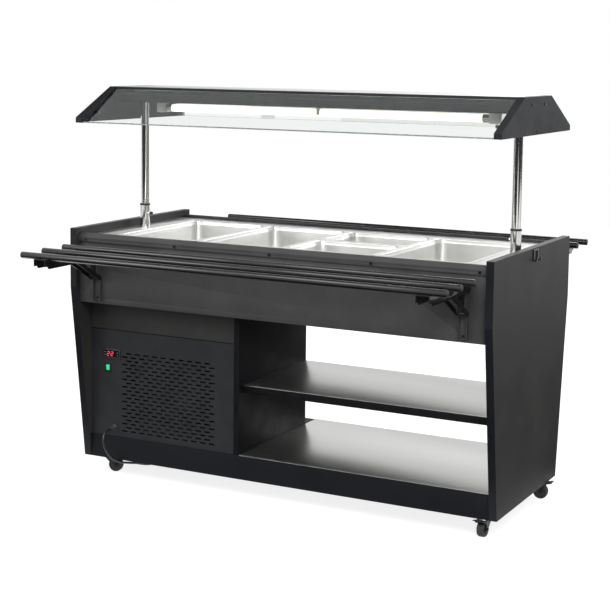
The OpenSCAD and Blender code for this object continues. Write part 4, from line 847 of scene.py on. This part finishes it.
def makeFan():
    # over u from root to tip and v across the chord, the tip's corners are round, the angle lags behind as u
    # grows, and the blade rises along a shallow S: height = rise * sin(pi (v - 1/2)) * (1.05 - 0.4 u)
    low, high = (np.array(v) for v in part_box("fan_blade"))
    centre = (low + high) / 2 / mm
    u = np.linspace(0, 1, 14)[:, None]
    v = np.linspace(0, 1, 13)[None, :]
    radius = fan["root"] + (fan["tip"] - fan["root"]) * u - fan["round"] * u ** 4 * (2 * v - 1) ** 2
    chord = fan["chord"][0] + (fan["chord"][1] - fan["chord"][0]) * u ** 0.8
    swing = (v - 0.5) * chord / radius + math.radians(fan["lag"]) * u ** 1.5
    height = fan["rise"] * np.sin(math.pi * (v - 0.5)) * (1.05 - 0.4 * u)
    shapes = []
    for a in np.arange(fan["blades"]) * 2 * math.pi / fan["blades"] + math.pi / 4:
        faces = []
        for lift in (-fan["thick"] / 2, fan["thick"] / 2):
            faces.append(np.stack([radius * np.cos(swing + a), height + lift, radius * np.sin(swing + a)], -1))
        points = np.concatenate([faces[0], faces[1][:, ::-1]], axis=1)
        shapes.append(((points + centre) * mm, gridFaces(points.shape[0], points.shape[1])))
    r, h = fan["hub"], fan["hubHalf"]
    hub = [(-h, 0), (-h, 8), (-h + 0.6, 9), (-h + 0.6, r - 4), (-h + 1.4, r - 1.4), (-h + 3.2, r), (h, r), (h, 0)]
    shapes.append(turnedShape(np.array(hub) * mm, centre * mm, (0, 1, 0), 48))
    piece = shapePiece("fanRotor", *joinShapes(shapes), polyamide, bodyOf["fan_blade"], slotOf["fan_blade"])
    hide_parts("fan_blade")

    # pan-head screws at the corners of the shroud, seen through the grille's slots
    low, high = (np.array(v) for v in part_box("fan_shroud"))
    inset, span = fan["screwInset"] * mm, fan["screwSpan"] * mm
    shapes = [turnedShape(np.array(fan["screw"]) * mm, (x, low[1], z), (0, -1, 0), 24)
              for x in (low[0] + inset, high[0] - inset) for z in (high[2] - inset - span, high[2] - inset)]
    shapePiece("shroudScrews", *joinShapes(shapes), zincPlate, "cabinet", "zinc_steel")


makeFan()
print("fan made")


# the powers are watts, the sizes metres; a lamp is (place, aim, width, power), a card (place, width, low, high) and
# a mat (corner, corner, height); cards and mats are seen only in reflections, as a studio's dark walls are
studio = {
    "floorSize": 16, "worldLevel": 0.44, "floorGlow": 0.84, "floorColor": "#a2a2a2",
    "lamps": {"key": ((3.0, -3.6, 3.4), (0.1, 0, 0.5), 2.2, 150), "fill": ((-3.6, -3.2, 2.6), (0, 0, 0.5), 2.6, 75),
              "top": ((0.3, 3.0, 4.0), (0, 0, 0.8), 2.4, 105), "front": ((-0.4, -2.3, 3.1), (0, 0, 0.7), 1.8, 36),
              "rear": ((2.4, 4.4, 3.2), (0, 0, 0.5), 3.8, 42)},
    "cards": [((3.2, -6.4), 2.4, 0, 3.4), ((9.0, -1.5), 1.6, 0, 3.4), ((-8.0, -3.0), 1.6, 0, 3.4)],
    "mats": [((-3.4, -3.4), (1.6, -0.5), 0.002), ((-0.8, 0.5), (3.6, 4.2), 0.002), ((0.85, -1.8), (3.6, 0.5), 0.002),
             ((-3.4, -0.3), (1.4, 2.8), 3.3)],
}


def seenDirectly(tree):
    # 1 where the camera, a reflection or clear glass looks at it, and 0 for the light it throws on things
    path = addNode(tree, "ShaderNodeLightPath")
    seen = addNode(tree, "ShaderNodeMath", {0: path.outputs["Is Camera Ray"], 1: path.outputs["Is Glossy Ray"]},
                   operation="ADD")
    return addNode(tree, "ShaderNodeMath", {0: seen.outputs[0], 1: path.outputs["Is Transmission Ray"]},
                   operation="ADD", use_clamp=True).outputs[0]


def standPlane(name, corners, material):
    mesh = bpy.data.meshes.new(name)
    mesh.from_pydata(corners, [], [tuple(range(len(corners)))])
    mesh.materials.append(material)
    plane = bpy.data.objects.new(name, mesh)
    bpy.context.scene.collection.objects.link(plane)
    return plane


def makeStudio():
    # a white surround and a pale floor that meet without a line, soft lamps above, and dark cards to the sides
    world = bpy.data.worlds.new("surround")
    bpy.context.scene.world = world
    world.use_nodes = True
    tree = world.node_tree
    tree.nodes.clear()
    level = addNode(tree, "ShaderNodeMapRange", {"Value": seenDirectly(tree), "To Min": studio["worldLevel"],
                                                 "To Max": 1.0}).outputs[0]
    sky = addNode(tree, "ShaderNodeBackground", {"Color": (1, 1, 1, 1), "Strength": level})
    addNode(tree, "ShaderNodeOutputWorld", {"Surface": sky.outputs[0]})

    # matt floor paint; part of its white is its own where it is looked at, so that only the shadow shows on it
    paint = makeFinish("floorPaint", {"size": 400, "colors": (studio["floorColor"], studio["floorColor"]),
                                      "roughness": (0.9, 0.95), "grain": 8, "depth": 0.01}, IOR=1.3,
                       Emission_Color=(1, 1, 1, 1))
    shader = next(node for node in paint.node_tree.nodes if node.type == "BSDF_PRINCIPLED")
    glow = addNode(paint.node_tree, "ShaderNodeMapRange", {"Value": seenDirectly(paint.node_tree), "To Min": 0.0,
                                                           "To Max": studio["floorGlow"]})
    paint.node_tree.links.new(glow.outputs[0], shader.inputs["Emission Strength"])
    half = studio["floorSize"] / 2
    standPlane("floor", [(-half, -half, 0), (half, -half, 0), (half, half, 0), (-half, half, 0)], paint)

    # black cloth: upright on frames, lying on the floor, and hung over the object
    cloth = makeFinish("blackCloth", {"size": 30, "colors": ("#0b0b0c", "#101011"), "roughness": (0.8, 0.9),
                                      "grain": 2, "depth": 0.2}, IOR=1.4)
    cards = []
    for at, width, low, high in studio["cards"]:
        at = np.array(at)
        side = np.array((-at[1], at[0])) / np.linalg.norm(at) * width / 2
        a, b = at - side, at + side
        cards.append([(*a, low), (*b, low), (*b, high), (*a, high)])
    for (x0, y0), (x1, y1), height in studio["mats"]:
        cards.append([(x0, y0, height), (x1, y0, height), (x1, y1, height), (x0, y1, height)])
    for number, corners in enumerate(cards):
        card = standPlane("card" + str(number), corners, cloth)
        card.visible_camera = card.visible_diffuse = card.visible_shadow = card.visible_transmission = False

    for name, (at, aim, size, power) in studio["lamps"].items():
        data = bpy.data.lights.new(name, "AREA")
        data.shape, data.size, data.energy = "DISK", size, power
        light = bpy.data.objects.new(name, data)
        light.location = at
        light.rotation_euler = (Vector(aim) - Vector(at)).to_track_quat("-Z", "Y").to_euler()
        bpy.context.scene.collection.objects.link(light)


makeStudio()
bpy.context.scene.view_settings.view_transform = "Standard"
print("studio lit")
